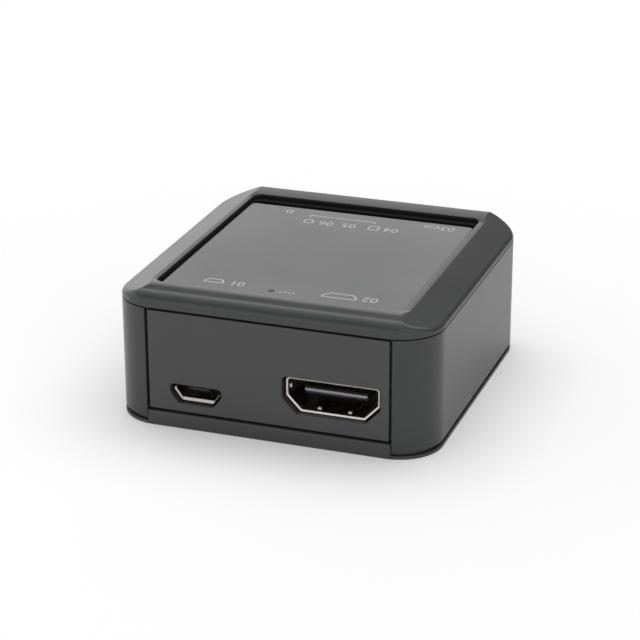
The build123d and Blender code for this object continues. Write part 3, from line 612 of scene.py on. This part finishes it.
def solid(name: str, rings: Sequence[Sequence[Vector]], looped: bool = False) -> Piece:
    """Skins equal rings of points into one closed solid.

    Args:
        name: the object's name.
        rings: two or more rings in millimetres, each with the same number of points.
        looped: True where the last ring joins the first, so that the solid has a hole, else its
            ends are flat.

    Returns:
        The new object.
    """
    form = bmesh.new()
    made = [[form.verts.new(point * MM) for point in ring] for ring in rings]
    count = len(rings[0])
    for low, high in zip(made, made[1:] + (made[:1] if looped else [])):
        for k in range(count):
            after = (k + 1) % count
            form.faces.new((low[k], low[after], high[after], high[k]))
    if not looped:
        form.faces.new(list(reversed(made[0])))
        form.faces.new(made[-1])
    return close_form(name, form)


def slab(name: str, outline: Sequence[Point], z0: float, z1: float) -> Piece:
    """Makes a flat solid from an outline in X and Y."""
    return solid(name, [[Vector((x, y, z)) for x, y in outline] for z in (z0, z1)])


def bar(name: str, corner: Sequence[float], opposite: Sequence[float], rounding: Rounding) -> Piece:
    """Makes a bar with broken edges between two opposite corners."""
    (x0, x1), (y0, y1), (z0, z1) = (sorted(pair) for pair in zip(corner, opposite))
    return shade(slab(name, rectangle(x0, y0, x1, y1), z0, z1), rounding)


def strip(name: str, path: Sequence[Point], width: float, thickness: float) -> Piece:
    """Bends a flat strip along a path in Y and Z, with mitred bends.

    Args:
        name: the object's name.
        path: points in Y and Z, in millimetres, along one face of the strip.
        width: size along X.
        thickness: size across the path, to its left.

    Returns:
        The strip, centred on X = 0.
    """
    rings = []
    half = width / 2
    for near, across, share in mitres(path):
        far = near + across * (thickness / share)
        ring = ((-half, near), (half, near), (half, far), (-half, far))
        rings.append([Vector((x, *point)) for x, point in ring])
    return solid(name, rings)


def join(name: str, pieces: Iterable[Piece]) -> Piece:
    """Joins loose pieces into one object and merges the points that they share.

    Args:
        name: the joined object's name.
        pieces: the pieces, which are removed.

    Returns:
        The new object.
    """
    form = bmesh.new()
    for piece in pieces:
        form.from_mesh(piece.data)
        bpy.data.objects.remove(piece)
    bmesh.ops.remove_doubles(form, verts=form.verts[:], dist=MERGE_MM * MM)
    return close_form(name, form)


def finish_piece(piece: Piece, finish: Any, body: str = MAIN_BODY, nodes: Iterable[str] = ()) -> None:
    """Paints a finished piece, puts it on its body and hides the CAD nodes that it stands for.

    Args:
        piece: the object, with a plain mesh at the origin.
        finish: its finish.
        body: the CAD body that it moves with.
        nodes: the CAD nodes that it replaces.
    """
    piece.data.materials.clear()
    piece.data.materials.append(finish.make())
    for polygon in piece.data.polygons:
        polygon.material_index = 0
    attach(piece, body)
    if nodes:
        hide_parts(*nodes)
    LOG.info("%s on %s: %d faces, %s", piece.name, body, len(piece.data.polygons), finish.name)


def stand_in(node: str, finish: Any, body: str = MAIN_BODY, **copy: Any) -> Piece:
    """Copies a CAD node and finishes the copy, which stands for that node.

    Args:
        node: the CAD node.
        finish: the copy's finish.
        body: the CAD body that it moves with.
        copy: its name, rounding and softening, as cad_copy() takes them.

    Returns:
        The finished piece.
    """
    piece = cad_copy(node, **copy)
    finish_piece(piece, finish, body, [node])
    return piece


def paint_nodes(finish: Any, *nodes: str) -> None:
    """Gives carried-over CAD nodes their finish.

    Args:
        finish: the finish.
        nodes: the CAD nodes.
    """
    material = finish.make()
    for node in nodes:
        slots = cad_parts[node].data.materials
        for index in range(len(slots)):
            slots[index] = material
        if not slots:
            slots.append(material)
        LOG.info("%s keeps its CAD form: %s", node, finish.name)


class RepeatTree:
    """Geometry Nodes tree that sets one shape at every point of a mesh."""

    def __init__(self) -> None:
        """Builds the tree with its named inputs."""
        self.tree = tree = bpy.data.node_groups.new("repeat_at_points", "GeometryNodeTree")
        kinds = {"Points": "Geometry", "Shape": "Object", "Size": "Float", "Finish": "Material"}
        self.inputs = {
            name: tree.interface.new_socket(name, in_out="INPUT", socket_type=f"NodeSocket{kind}").identifier
            for name, kind in kinds.items()
        }
        tree.interface.new_socket("Result", in_out="OUTPUT", socket_type="NodeSocketGeometry")
        start = add_node(tree, "NodeGroupInput").outputs
        item = {"Object": start["Shape"], "As Instance": True}
        shape = add_node(tree, "GeometryNodeObjectInfo", item, transform_space="ORIGINAL").outputs["Geometry"]
        turn = add_node(tree, "GeometryNodeInputNamedAttribute", {"Name": "turn"}, data_type="FLOAT_VECTOR")
        places = {"Points": start["Points"], "Rotation": turn.outputs["Attribute"], "Scale": start["Size"]}
        spread = add_node(tree, "GeometryNodeInstanceOnPoints", {**places, "Instance": shape})
        real = add_node(tree, "GeometryNodeRealizeInstances", {"Geometry": spread.outputs["Instances"]})
        dressed = add_node(
            tree, "GeometryNodeSetMaterial", {"Geometry": real.outputs["Geometry"], "Material": start["Finish"]}
        )
        add_node(tree, "NodeGroupOutput", {"Result": dressed.outputs["Geometry"]})

    def run(
        self, name: str, shape: Piece, places: Sequence[Vector], turns: Sequence[float], finish: Any
    ) -> Piece:
        """Repeats a shape at places, each turned about Z.

        Args:
            name: the result's name.
            shape: the object to repeat, drawn about the origin; it is removed afterwards.
            places: points in millimetres.
            turns: one angle in degrees for each place.
            finish: the finish of the result.

        Returns:
            A plain mesh object, not yet on a body.
        """
        mesh = bpy.data.meshes.new(name)
        mesh.from_pydata([place * MM for place in places], [], [])
        turn = mesh.attributes.new("turn", "FLOAT_VECTOR", "POINT")
        for item, angle in zip(turn.data, turns):
            item.vector = (0.0, 0.0, math.radians(angle))
        values = {"Shape": shape, "Size": 1.0, "Finish": finish.make()}
        inputs = {self.inputs[key]: value for key, value in values.items()}
        piece = modify(new_object(name, mesh), "repeat", "NODES", inputs, node_group=self.tree)
        bpy.data.objects.remove(shape)
        return piece


@dataclass
class Casing:
    """The shell of the box: lid, wall ring, socket panels, base and its screws."""

    lid_break: Rounding = Rounding(0.06, 2)
    frame_break: Rounding = Rounding(0.1, 2)
    panel_break: Rounding = Rounding(0.14, 3)
    base_break: Rounding = Rounding(0.09, 2)
    crease_mm: float = 0.4
    crease_steps: int = 4
    crease_rise: float = 0.88
    level_slope: float = 0.05
    bevel_slope: Point = (0.25, 0.45)
    recess_half: Point = (20.15, 21.9)
    recess_z: Point = (20.2, 22.19)
    ledge_x: float = 19.4
    far_rim: Point = (-19.7, 21.4)
    rim_z: float = 21.6
    near_rise: float = 0.8
    far_rise: float = 0.97
    screw_x: float = 21.3
    screw_y: float = 19.5
    screw_turns: tuple[float, ...] = (20.0, 65.0, 40.0, 5.0)
    head: Path = ((1.35, 0.1), (1.7, 0.16), (1.88, 0.4), (1.9, 1.1), (0.95, 1.1))
    thread_radius: float = 0.95
    thread_depth: float = 0.2
    thread_pitch: float = 0.6
    thread_valley: float = 0.45
    thread_turns: int = 10
    tip_radius: float = 0.3
    round_points: int = 28
    cross_arm: float = 0.95
    cross_width: float = 0.42
    cross_depth: float = 0.75

    def build(self) -> None:
        """Builds and dresses each case part."""
        lid = stand_in("top_cover", CASE_ABS, name="lid", rounding=self.lid_break, soften=self.soften_crease)
        self.paint_recess_shade(lid)
        stand_in("side_frame", CASE_ABS, name="wall_ring", rounding=self.frame_break)
        stand_in("base_cover", BASE_LIT_ABS, name="base", rounding=self.base_break)
        for end in ("front", "rear"):
            stand_in(f"{end}_panel", PANEL_LIT_ABS, name=f"{end}_socket_panel", rounding=self.panel_break)
        self.build_screws()

    def soften_crease(self, form: Form) -> None:
        """Rounds the long creases where the lid's side bevels meet its flat rim.

        Args:
            form: the lid's merged mesh.
        """
        creases = []
        for edge in form.edges:
            if len(edge.link_faces) != 2:
                continue
            level, sloped = sorted(abs(face.normal.x) for face in edge.link_faces)
            upwards = min(face.normal.z for face in edge.link_faces) > self.crease_rise
            if level < self.level_slope and self.bevel_slope[0] < sloped < self.bevel_slope[1] and upwards:
                creases.append(edge)
        bmesh.ops.bevel(
            form, geom=creases, offset=self.crease_mm * MM, segments=self.crease_steps, profile=0.5,
            affect="EDGES", clamp_overlap=True,
        )
        LOG.info("lid: %d crease edges rounded", len(creases))

    def paint_recess_shade(self, lid: Piece) -> None:
        """Paints shade on the walls and the ledges of the sunk field, but not on its right ledge, with a
        near-black, rough finish.

        Args:
            lid: the finished lid.
        """
        # The second material is painted shade: near-black and weakly glossy, on the faces where shade falls in
        # the recess.
        lid.data.materials.append(RECESS_SHADE_ABS.make())
        for polygon in lid.data.polygons:
            middle, normal = polygon.center / MM, polygon.normal
            inside = abs(middle.x) < self.recess_half[0] and abs(middle.y) < self.recess_half[1]
            sunk = inside and self.recess_z[0] < middle.z < self.recess_z[1]
            right_ledge = middle.x > self.ledge_x and normal.z > self.near_rise
            far = middle.x < self.far_rim[0] or middle.y > self.far_rim[1]
            rim = middle.z > self.rim_z and normal.z > (self.far_rise if far else self.near_rise)
            if sunk and not right_ledge and not rim:
                polygon.material_index = 1

    def build_screws(self) -> None:
        """Builds one self-tapping screw with a cross recess and sets it at the four corners."""
        profile = list(self.head)
        z = self.head[-1][1]
        for _ in range(self.thread_turns):
            profile.append((self.thread_radius - self.thread_depth, z + self.thread_pitch * self.thread_valley))
            z += self.thread_pitch
            profile.append((self.thread_radius, z))
        profile.append((self.tip_radius, z + self.thread_pitch))
        rounds = [(circle(0, 0, radius, self.round_points), z) for radius, z in profile]
        screw = solid("screw", [[Vector((*point, z)) for point in points] for points, z in rounds])
        arm, half = self.cross_arm, self.cross_width / 2
        for angle in (0.0, 90.0):
            cutter = slab("cutter", rectangle(-arm, -half, arm, half), 0.0, self.cross_depth)
            cutter.data.transform(Matrix.Rotation(math.radians(angle), 4, "Z"))
            modify(screw, "cross_recess", "BOOLEAN", operation="DIFFERENCE", solver="EXACT", object=cutter)
            bpy.data.objects.remove(cutter)
        shade(screw)
        places = [Vector((sx * self.screw_x, sy * self.screw_y, 0)) for sx in (-1, 1) for sy in (-1, 1)]
        screws = RepeatTree().run("case_screw_set", screw, places, self.screw_turns, SCREW_ZINC)
        finish_piece(screws, SCREW_ZINC, nodes=["case_screws"])


@dataclass
class Label:
    """The inlay plate with its printed marks: plain numbers and socket outlines."""

    edge_break: Rounding = Rounding(0.1, 2)
    window_break: Rounding = Rounding(0.08, 2)
    edge_from: Point = (19.0, 18.9)
    edge_shift: Point = (0.13, -1.0)
    ink_z: Point = (21.45, 21.462)
    line_mm: float = 0.26
    digit_mm: float = 1.75
    digit_share: float = 0.68
    digit_steps: int = 3
    corner_mm: float = 0.2
    corner_steps: int = 2
    shoulder_share: float = 0.1
    numbers: tuple[tuple[str, Point], ...] = (
        ("01", (-8.1, -17.2)), ("02", (13.4, -17.1)), ("03", (15.6, 17.0)),
        ("04", (7.0, 13.4)), ("05", (-0.3, 13.3)), ("06", (-4.2, 13.1)),
    )
    sockets: Rows = (
        (-11.9, -17.2, 1.55, 0.95, 1.3), (8.6, -17.1, 2.7, 1.8, 1.7), (12.9, 17.2, 1.2, 0.8, 1.1),
    )
    circles: tuple[tuple[float, float, float, int], ...] = ((-7.3, 13.2, 0.8, 20), (-11.9, 16.8, 0.55, 18))
    square: tuple[float, ...] = (3.2, 12.6, 4.8, 14.2)
    bracket: Path = ((-7.8, 15.4), (-7.8, 16.1), (3.4, 16.1), (3.4, 15.4))
    tick_x: tuple[float, ...] = (-0.6, 0.1, 0.8, 1.5)
    tick_y: float = -18.4
    tick_radius: float = 0.2
    tick_points: int = 12

    def build(self) -> None:
        """Builds the plate, prints it and dresses its light window."""
        stand_in("label_plate", LABEL_FILM, name="label", rounding=self.edge_break, soften=self.set_edges)
        finish_piece(shade(join("label_marks", self.marks())), LABEL_INK)
        stand_in("light_pipe", SMOKED_ACRYLIC, name="light_window", rounding=self.window_break)

    def set_edges(self, form: Form) -> None:
        """Brings the right edge up to the ledge and leaves a wider gap at the rear.

        Args:
            form: the plate's merged mesh.
        """
        for vert in form.verts:
            if vert.co.x > self.edge_from[0] * MM:
                vert.co.x += self.edge_shift[0] * MM
            if vert.co.y > self.edge_from[1] * MM:
                vert.co.y += self.edge_shift[1] * MM

    def socket(self, x: float, y: float, half: float, foot: float, height: float) -> list[Point]:
        """Draws a socket's outline, its cut corners towards the rear.

        Args:
            x: X of its middle.
            y: Y of its middle.
            half: half its width.
            foot: half the width between its cut corners.
            height: its size along Y.

        Returns:
            The points of the outline.
        """
        top, low, shoulder = y - height / 2, y + height / 2, y - height * self.shoulder_share
        upper = [(x - half, top), (x + half, top), (x + half, shoulder)]
        lower = [(x + foot, low), (x - foot, low), (x - half, shoulder)]
        return rounded(upper + lower, self.corner_mm, self.corner_steps)

    def line(self, path: Sequence[Point], closed: bool = True) -> Piece:
        """Prints a line of even width as a thin solid.

        Args:
            path: points in X and Y, in millimetres, along the line's middle.
            closed: True where the line runs back to its first point.

        Returns:
            The new object.
        """
        z0, z1 = self.ink_z
        rings = []
        for here, across, share in mitres(path, closed):
            reach = across * (self.line_mm / 2 / share)
            left, right = here + reach, here - reach
            rings.append([Vector((*p, z)) for p, z in ((left, z0), (right, z0), (right, z1), (left, z1))])
        return solid("line", rings, closed)

    def digits(self, text: str, middle: Point) -> Piece:
        """Prints plain numerals, as a thin solid that reads from the rear.

        Args:
            text: the digits.
            middle: X and Y of their middle.

        Returns:
            The new object.
        """
        font = bpy.data.curves.new("digits", "FONT")
        font.body = text
        font.align_x = font.align_y = "CENTER"
        font.size = self.digit_mm / self.digit_share * MM
        font.extrude = (self.ink_z[1] - self.ink_z[0]) / 2 * MM
        font.resolution_u = self.digit_steps
        draft = new_object("digits", font)
        mesh = plain_mesh(draft)
        bpy.data.objects.remove(draft)
        place = Vector((*middle, sum(self.ink_z) / 2)) * MM
        mesh.transform(Matrix.Translation(place) @ Matrix.Rotation(math.pi, 4, "Z"))
        return new_object("digits", mesh)

    def marks(self) -> list[Piece]:
        """Draws every printed mark, each near the socket that it stands for.

        Returns:
            The marks, each a thin solid.
        """
        closed = [self.socket(*row) for row in self.sockets] + [circle(*row) for row in self.circles]
        pieces = [self.line(path) for path in (*closed, rectangle(*self.square))]
        pieces += [self.line(self.bracket, closed=False)] + [self.digits(*number) for number in self.numbers]
        tick = slab("tick", circle(0, 0, self.tick_radius, self.tick_points), *self.ink_z)
        places = [Vector((x, self.tick_y, 0)) for x in self.tick_x]
        pieces.append(RepeatTree().run("tick_marks", tick, places, [0.0] * len(places), LABEL_INK))
        return pieces


@dataclass(frozen=True)
class Outline:
    """A socket shell's outline: level top, upright sides, lower corners cut off at a slant."""

    half_mm: float
    foot_half_mm: float
    bottom_mm: float
    shoulder_mm: float
    top_mm: float

    def ring(self, inset: float, low_inset: float, top_inset: float, radius: float) -> list[Point]:
        """Draws the outline about X = 0, moved inwards.

        Args:
            inset: how far the upright and the slanting sides move in.
            low_inset: how far the bottom moves in.
            top_inset: how far the top moves in.
            radius: radius of its corners.

        Returns:
            The points in X and Z.
        """
        slope = (self.shoulder_mm - self.bottom_mm) / (self.half_mm - self.foot_half_mm)
        length = math.hypot(1, slope)
        foot = self.foot_half_mm - inset * (length - 1) / slope + (low_inset - inset) / slope
        shoulder = self.shoulder_mm + inset * (length - slope)
        half, low, top = self.half_mm - inset, self.bottom_mm + low_inset, self.top_mm - top_inset
        corners = ((-half, top), (-half, shoulder), (-foot, low), (foot, low), (half, shoulder), (half, top))
        return rounded(corners, radius)


@dataclass
class Socket:
    """What the stamped sockets share. Depths, outlines and paths are drawn at the front, about X = 0."""

    node: str
    side: Side
    middle_mm: float
    outline: Outline
    contact_mm: float
    pitch_mm: float
    strip_mm: float = 0.1

    def at(self, x: float, y: float, z: float) -> Vector:
        """Takes a point as it is drawn to its real place."""
        return Vector((self.middle_mm + self.side.value * x, self.side.value * y, z))

    def tube(self, name: str, stations: Rows) -> Piece:
        """Builds a tube around the plug's way that follows the shell's outline.

        Args:
            name: the object's name.
            stations: each ring's depth, then its three insets and its corner radius.

        Returns:
            The new object.
        """
        rings = [[self.at(x, y, z) for x, z in self.outline.ring(*insets)] for y, *insets in stations]
        return solid(name, rings, looped=True)

    def row(self, name: str, path: Path, count: int) -> Piece:
        """Sets one row of bent contacts side by side.

        Args:
            name: the object's name.
            path: points in Y and Z along a contact.
            count: number of contacts.

        Returns:
            The new object.
        """
        contact = strip("contact", path, self.contact_mm, self.strip_mm)
        places = [self.at((k - (count - 1) / 2) * self.pitch_mm, 0, 0) for k in range(count)]
        return RepeatTree().run(name, contact, places, [self.side.turn_deg()] * count, CONTACT_GOLD)


@dataclass
class HdmiSocket(Socket):
    """An HDMI receptacle: stamped shell, carrier with its tongue, and two rows of contacts."""

    outline: Outline = Outline(7.5, 5.16, 5.3, 7.76, 10.8)
    contact_mm: float = 0.38
    pitch_mm: float = 1.0
    collar_mm: float = -24.9
    rim: Rows = (
        (-24.88, 0.0, 0.0, 0.0, 0.6), (-25.35, 0.0, 0.0, 0.0, 0.6), (-25.4, 0.05, 0.05, 0.05, 0.57),
        (-25.3, 0.31, 0.31, 0.31, 0.42), (-25.24, 0.35, 0.35, 0.35, 0.4), (-24.88, 0.35, 0.35, 0.35, 0.4),
    )
    gasket: Rows = (
        (-24.6, 0.03, 0.03, 0.03, 0.57), (-24.6, -0.7, -0.7, -0.7, 0.9),
        (-23.9, -0.7, -0.7, -0.7, 0.9), (-23.9, 0.03, 0.03, 0.03, 0.57),
    )
    edge_break: Rounding = Rounding(0.08, 2)
    plate: tuple[Corner, Corner] = ((-5.0, -23.86, 8.18), (5.0, -22.9, 8.64))
    upper: Path = ((-22.7, 8.74), (-22.2, 8.9), (-13.75, 8.9), (-13.75, 4.4), (-12.8, 4.4))
    upper_count: int = 10
    lower: Path = ((-14.15, 4.4), (-14.15, 7.6), (-22.6, 7.6))
    lower_count: int = 9

    def build(self) -> None:
        """Builds and dresses the socket."""
        shell = cad_copy(f"{self.node}_shell", "shell", soften=self.draw_back)
        metal = shade(join(f"{self.node}_metal", [shell, self.tube("collar", self.rim)]))
        finish_piece(metal, SOCKET_NICKEL, nodes=[f"{self.node}_shell"])
        finish_piece(shade(self.tube(f"{self.node}_gasket", self.gasket)), GASKET_FOAM)
        stand_in(f"{self.node}_insulator", SOCKET_LCP, name=f"{self.node}_carrier", rounding=self.edge_break)
        corners = [self.at(*corner) for corner in self.plate]
        finish_piece(bar(f"{self.node}_plate", *corners, self.edge_break), PLATE_STEEL)
        counts = ((self.upper, self.upper_count), (self.lower, self.lower_count))
        contacts = shade(join(f"{self.node}_pins", [self.row("row", *count) for count in counts]))
        finish_piece(contacts, CONTACT_GOLD, nodes=[f"{self.node}_contacts"])

    def draw_back(self, form: Form) -> None:
        """Ends the copied shell where the collar begins.

        Args:
            form: the shell's merged mesh.
        """
        sign = self.side.value
        for vert in form.verts:
            if sign * vert.co.y < self.collar_mm * MM:
                vert.co.y = sign * self.collar_mm * MM


@dataclass
class UsbSocket(Socket):
    """The micro-USB receptacle: a shell with a flared mouth, its tongue and five contacts."""

    outline: Outline = Outline(3.9, 2.75, 4.55, 6.1, 7.0)
    contact_mm: float = 0.28
    pitch_mm: float = 0.62
    wall_mm: float = 0.3
    mouth: Rows = (
        (-20.4, 0.0, 0.0, 0.0, 0.45), (-25.0, 0.0, 0.0, 0.0, 0.45), (-25.3, 0.05, -0.1, 0.1, 0.45),
        (-25.42, 0.08, -0.12, 0.16, 0.42), (-25.22, 0.28, 0.3, 0.28, 0.22), (-24.9, 0.3, 0.3, 0.3, 0.2),
        (-20.4, 0.3, 0.3, 0.3, 0.2),
    )
    tabs: Path = ((-22.6, -21.5), (-20.8, -20.4))
    tab_z: Point = (3.0, 6.45)
    tab_break: Rounding = Rounding(0.04, 1)
    carrier_break: Rounding = Rounding(0.03, 2)
    contact_path: Path = ((-19.1, 4.5), (-19.8, 4.5), (-19.8, 5.95), (-24.4, 5.95))
    contacts: int = 5

    def build(self) -> None:
        """Builds and dresses the socket."""
        pieces = [shade(self.tube("mouth", self.mouth))]
        outer, inner = self.outline.half_mm, self.outline.half_mm - self.wall_mm
        for side in (-1, 1):
            for y0, y1 in self.tabs:
                corners = self.at(side * outer, y0, self.tab_z[0]), self.at(side * inner, y1, self.tab_z[1])
                pieces.append(bar("tab", *corners, self.tab_break))
        finish_piece(shade(join("usb_metal", pieces)), SOCKET_NICKEL, nodes=[f"{self.node}_shell"])
        stand_in(f"{self.node}_insulator", SOCKET_LCP, name="usb_carrier", rounding=self.carrier_break)
        row = self.row("usb_pins", self.contact_path, self.contacts)
        finish_piece(shade(row), CONTACT_GOLD, nodes=[f"{self.node}_contacts"])


@dataclass
class OpticalOutput:
    """The optical output: port block, sprung shutter on its pin, and the light emitter."""

    block_break: Rounding = Rounding(0.12, 2)
    flap_break: Rounding = Rounding(0.1, 3)

    def build(self) -> None:
        """Builds and dresses each part; the flap moves with its own body."""
        stand_in("optical_housing", SOCKET_LCP, name="optical_port", rounding=self.block_break)
        stand_in("optical_shutter", SHUTTER_ABS, SHUTTER_BODY, name="optical_flap", rounding=self.flap_break)
        paint_nodes(SCREW_ZINC, "shutter_pin", "shutter_spring")
        paint_nodes(RED_EPOXY, "optical_emitter")


@dataclass
class StereoJack:
    """The stereo jack: moulded body, turned sleeve and four contact springs."""

    body_break: Rounding = Rounding(0.12, 2)
    sleeve_break: Rounding = Rounding(0.05, 2)

    def build(self) -> None:
        """Builds and dresses each part."""
        stand_in("audio_jack_body", SOCKET_LCP, name="jack_housing", rounding=self.body_break)
        stand_in("audio_jack_sleeve", JACK_NICKEL, name="jack_collar", rounding=self.sleeve_break)
        paint_nodes(TIN, "audio_jack_contacts")


@dataclass
class Board:
    """The circuit board and its parts, inside the case."""

    lead_path: Path = ((4.9, 5.1), (5.3, 5.1), (5.5, 4.45), (6.0, 4.4))
    lead_mm: float = 0.24
    lead_thickness: float = 0.12
    lead_pitch: float = 0.55
    leads: int = 16
    chip_x: float = 1.0
    chip_y: float = -2.5

    def build(self) -> None:
        """Dresses each inner part and bends the converter chip's leads."""
        paint_nodes(BOARD_MASK, "circuit_board")
        paint_nodes(SCREW_ZINC, "board_screws")
        paint_nodes(CHIP_EPOXY, "main_chip", "audio_chip", "memory_chip", "voltage_regulator")
        paint_nodes(FERRITE, "power_inductor")
        paint_nodes(SOCKET_NICKEL, "crystal")
        paint_nodes(CAN_ALUMINIUM, "electrolytic_capacitors")
        paint_nodes(CERAMIC, "chip_capacitors")
        paint_nodes(RESISTOR_GLAZE, "chip_resistors")
        paint_nodes(LED_SILICONE, "status_led")
        places, turns = [], []
        for turn in (0.0, 90.0, 180.0, 270.0):
            along = Vector((math.cos(math.radians(turn)), math.sin(math.radians(turn)), 0))
            for k in range(self.leads):
                offset = (k - (self.leads - 1) / 2) * self.lead_pitch
                places.append(Vector((self.chip_x, self.chip_y, 0)) + along * offset)
                turns.append(turn)
        lead = strip("lead", self.lead_path, self.lead_mm, self.lead_thickness)
        rows = RepeatTree().run("converter_chip_leads", lead, places, turns, TIN)
        finish_piece(shade(rows), TIN, nodes=["main_chip_leads"])


@dataclass
class Studio:
    """Pale floor, white surroundings with a soft overhead light, and the camera.

    The surroundings' strengths are pairs of a height, as the sine of the elevation, and a strength.
    """

    camera_azimuth_deg: float = 19.429
    camera_elevation_deg: float = 22.284
    camera_roll_deg: float = -0.153
    camera_distance_mm: float = 357.251
    target_mm: Corner = (-0.783, 0.238, 9.588)
    lens_mm: float = 123.81
    sensor_mm: float = 36.0
    clip_mm: Point = (10.0, 20000.0)
    floor_mm: float = 4000.0
    floor_z: float = -0.02
    floor_colour: str = "F4F4F4"
    floor_lift: float = 0.14
    sides_meet: Point = (-0.25, 0.1)
    ends_meet: Point = (-0.25, 0.3)
    behind_left: Path = (
        (0.0, 1.2), (0.30, 1.25), (0.385, 1.3), (0.46, 0.12), (0.64, 0.12), (0.78, 2.2), (0.9, 2.4), (1.0, 1.2),
    )
    behind_right: Path = (
        (0.0, 0.35), (0.1, 0.15), (0.45, 0.12), (0.55, 0.3), (0.74, 1.9), (0.9, 2.4), (1.0, 1.2),
    )
    ahead: Path = (
        (0.0, 1.08), (0.30, 1.05), (0.48, 0.42), (0.75, 0.35), (0.84, 0.85), (0.92, 0.85), (1.0, 0.9),
    )

    def build(self) -> None:
        """Sets up the whole studio."""
        self.build_floor()
        self.build_world()
        self.build_camera()
        bpy.context.scene.view_settings.view_transform = "Standard"

    def build_floor(self) -> None:
        """Makes the floor: matt pale card that keeps the object's soft shadow."""
        half = self.floor_mm / 2
        corners = [Vector((x, y, self.floor_z)) * MM for x, y in rectangle(-half, -half, half, half)]
        mesh = bpy.data.meshes.new("floor")
        mesh.from_pydata(corners, [], [(0, 1, 2, 3)])
        material = bpy.data.materials.new("floor_card")
        tree = empty_tree(material)
        card = add_node(tree, "ShaderNodeBsdfDiffuse", {"Color": linear(self.floor_colour)})
        path = add_node(tree, "ShaderNodeLightPath").outputs
        amount = calc("MULTIPLY", path["Is Camera Ray"], self.floor_lift)
        lift = add_node(tree, "ShaderNodeEmission", {"Color": WHITE, "Strength": amount})
        both = add_node(tree, "ShaderNodeAddShader", {0: card.outputs[0], 1: lift.outputs[0]})
        add_node(tree, "ShaderNodeOutputMaterial", {"Surface": both.outputs[0]})
        mesh.materials.append(material)
        new_object("floor", mesh)

    def ramp(self, height: Any, stops: Path) -> Any:
        """Adds a strength that follows the height of a direction.

        Args:
            height: socket with the sine of the elevation.
            stops: pairs of that sine and a strength.

        Returns:
            The socket with the strength.
        """
        top = max(strength for _, strength in stops)
        node = add_node(height.id_data, "ShaderNodeValToRGB", {"Fac": height})
        node.color_ramp.interpolation = "EASE"
        elements = node.color_ramp.elements
        while len(elements) < len(stops):
            elements.new(0.5)
        for element, (position, strength) in zip(elements, stops):
            element.position = position
            element.color = (strength / top, strength / top, strength / top, 1.0)
        return calc("MULTIPLY", node.outputs["Color"], top)

    def build_world(self) -> None:
        """Lights the object from white surroundings; the camera sees them plain white."""
        world = bpy.data.worlds.new("studio")
        bpy.context.scene.world = world
        tree = empty_tree(world)
        place = add_node(tree, "ShaderNodeTexCoord").outputs["Generated"]
        parts = add_node(tree, "ShaderNodeSeparateXYZ", {"Vector": place}).outputs
        sides = [self.ramp(parts["Z"], stops) for stops in (self.behind_left, self.behind_right)]
        behind = blend(rise(parts["X"], self.sides_meet), *sides)
        around = blend(rise(parts["Y"], self.ends_meet), self.ramp(parts["Z"], self.ahead), behind)
        path = add_node(tree, "ShaderNodeLightPath").outputs
        seen = calc("MAXIMUM", path["Is Camera Ray"], path["Is Transmission Ray"])
        light = add_node(tree, "ShaderNodeBackground", {"Color": WHITE, "Strength": blend(seen, around, 1.0)})
        add_node(tree, "ShaderNodeOutputWorld", {"Surface": light.outputs[0]})

    def build_camera(self) -> None:
        """Sets the camera where the picture was taken from."""
        azimuth, elevation = math.radians(self.camera_azimuth_deg), math.radians(self.camera_elevation_deg)
        roll = math.radians(self.camera_roll_deg)
        back = Vector((
            math.sin(azimuth) * math.cos(elevation),
            -math.cos(azimuth) * math.cos(elevation),
            math.sin(elevation),
        ))
        level = Vector((math.cos(azimuth), math.sin(azimuth), 0.0))
        up = back.cross(level)
        right = level * math.cos(roll) + up * math.sin(roll)
        top = up * math.cos(roll) - level * math.sin(roll)
        camera = bpy.data.cameras.new("camera")
        camera.lens = self.lens_mm
        camera.sensor_width = self.sensor_mm
        camera.clip_start, camera.clip_end = (distance * MM for distance in self.clip_mm)
        item = new_object("camera", camera)
        place = (Vector(self.target_mm) + back * self.camera_distance_mm) * MM
        turn = Matrix((right, top, back)).transposed().to_4x4()
        item.matrix_world = Matrix.Translation(place) @ turn
        bpy.context.scene.camera = item


def main() -> None:
    """Builds the object piece by piece, then the studio."""
    logging.basicConfig(level=logging.INFO, format="%(name)s: %(message)s")
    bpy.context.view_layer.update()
    Studio().build()
    hdmi = (HdmiSocket("hdmi_in", Side.FRONT, 10.25), HdmiSocket("hdmi_out", Side.REAR, -1.2))
    usb = UsbSocket("micro_usb", Side.FRONT, -11.75)
    for assembly in (Casing(), Label(), *hdmi, usb, OpticalOutput(), StereoJack(), Board()):
        assembly.build()
        LOG.info("%s is finished", type(assembly).__name__)


if __name__ == "__main__":
    main()
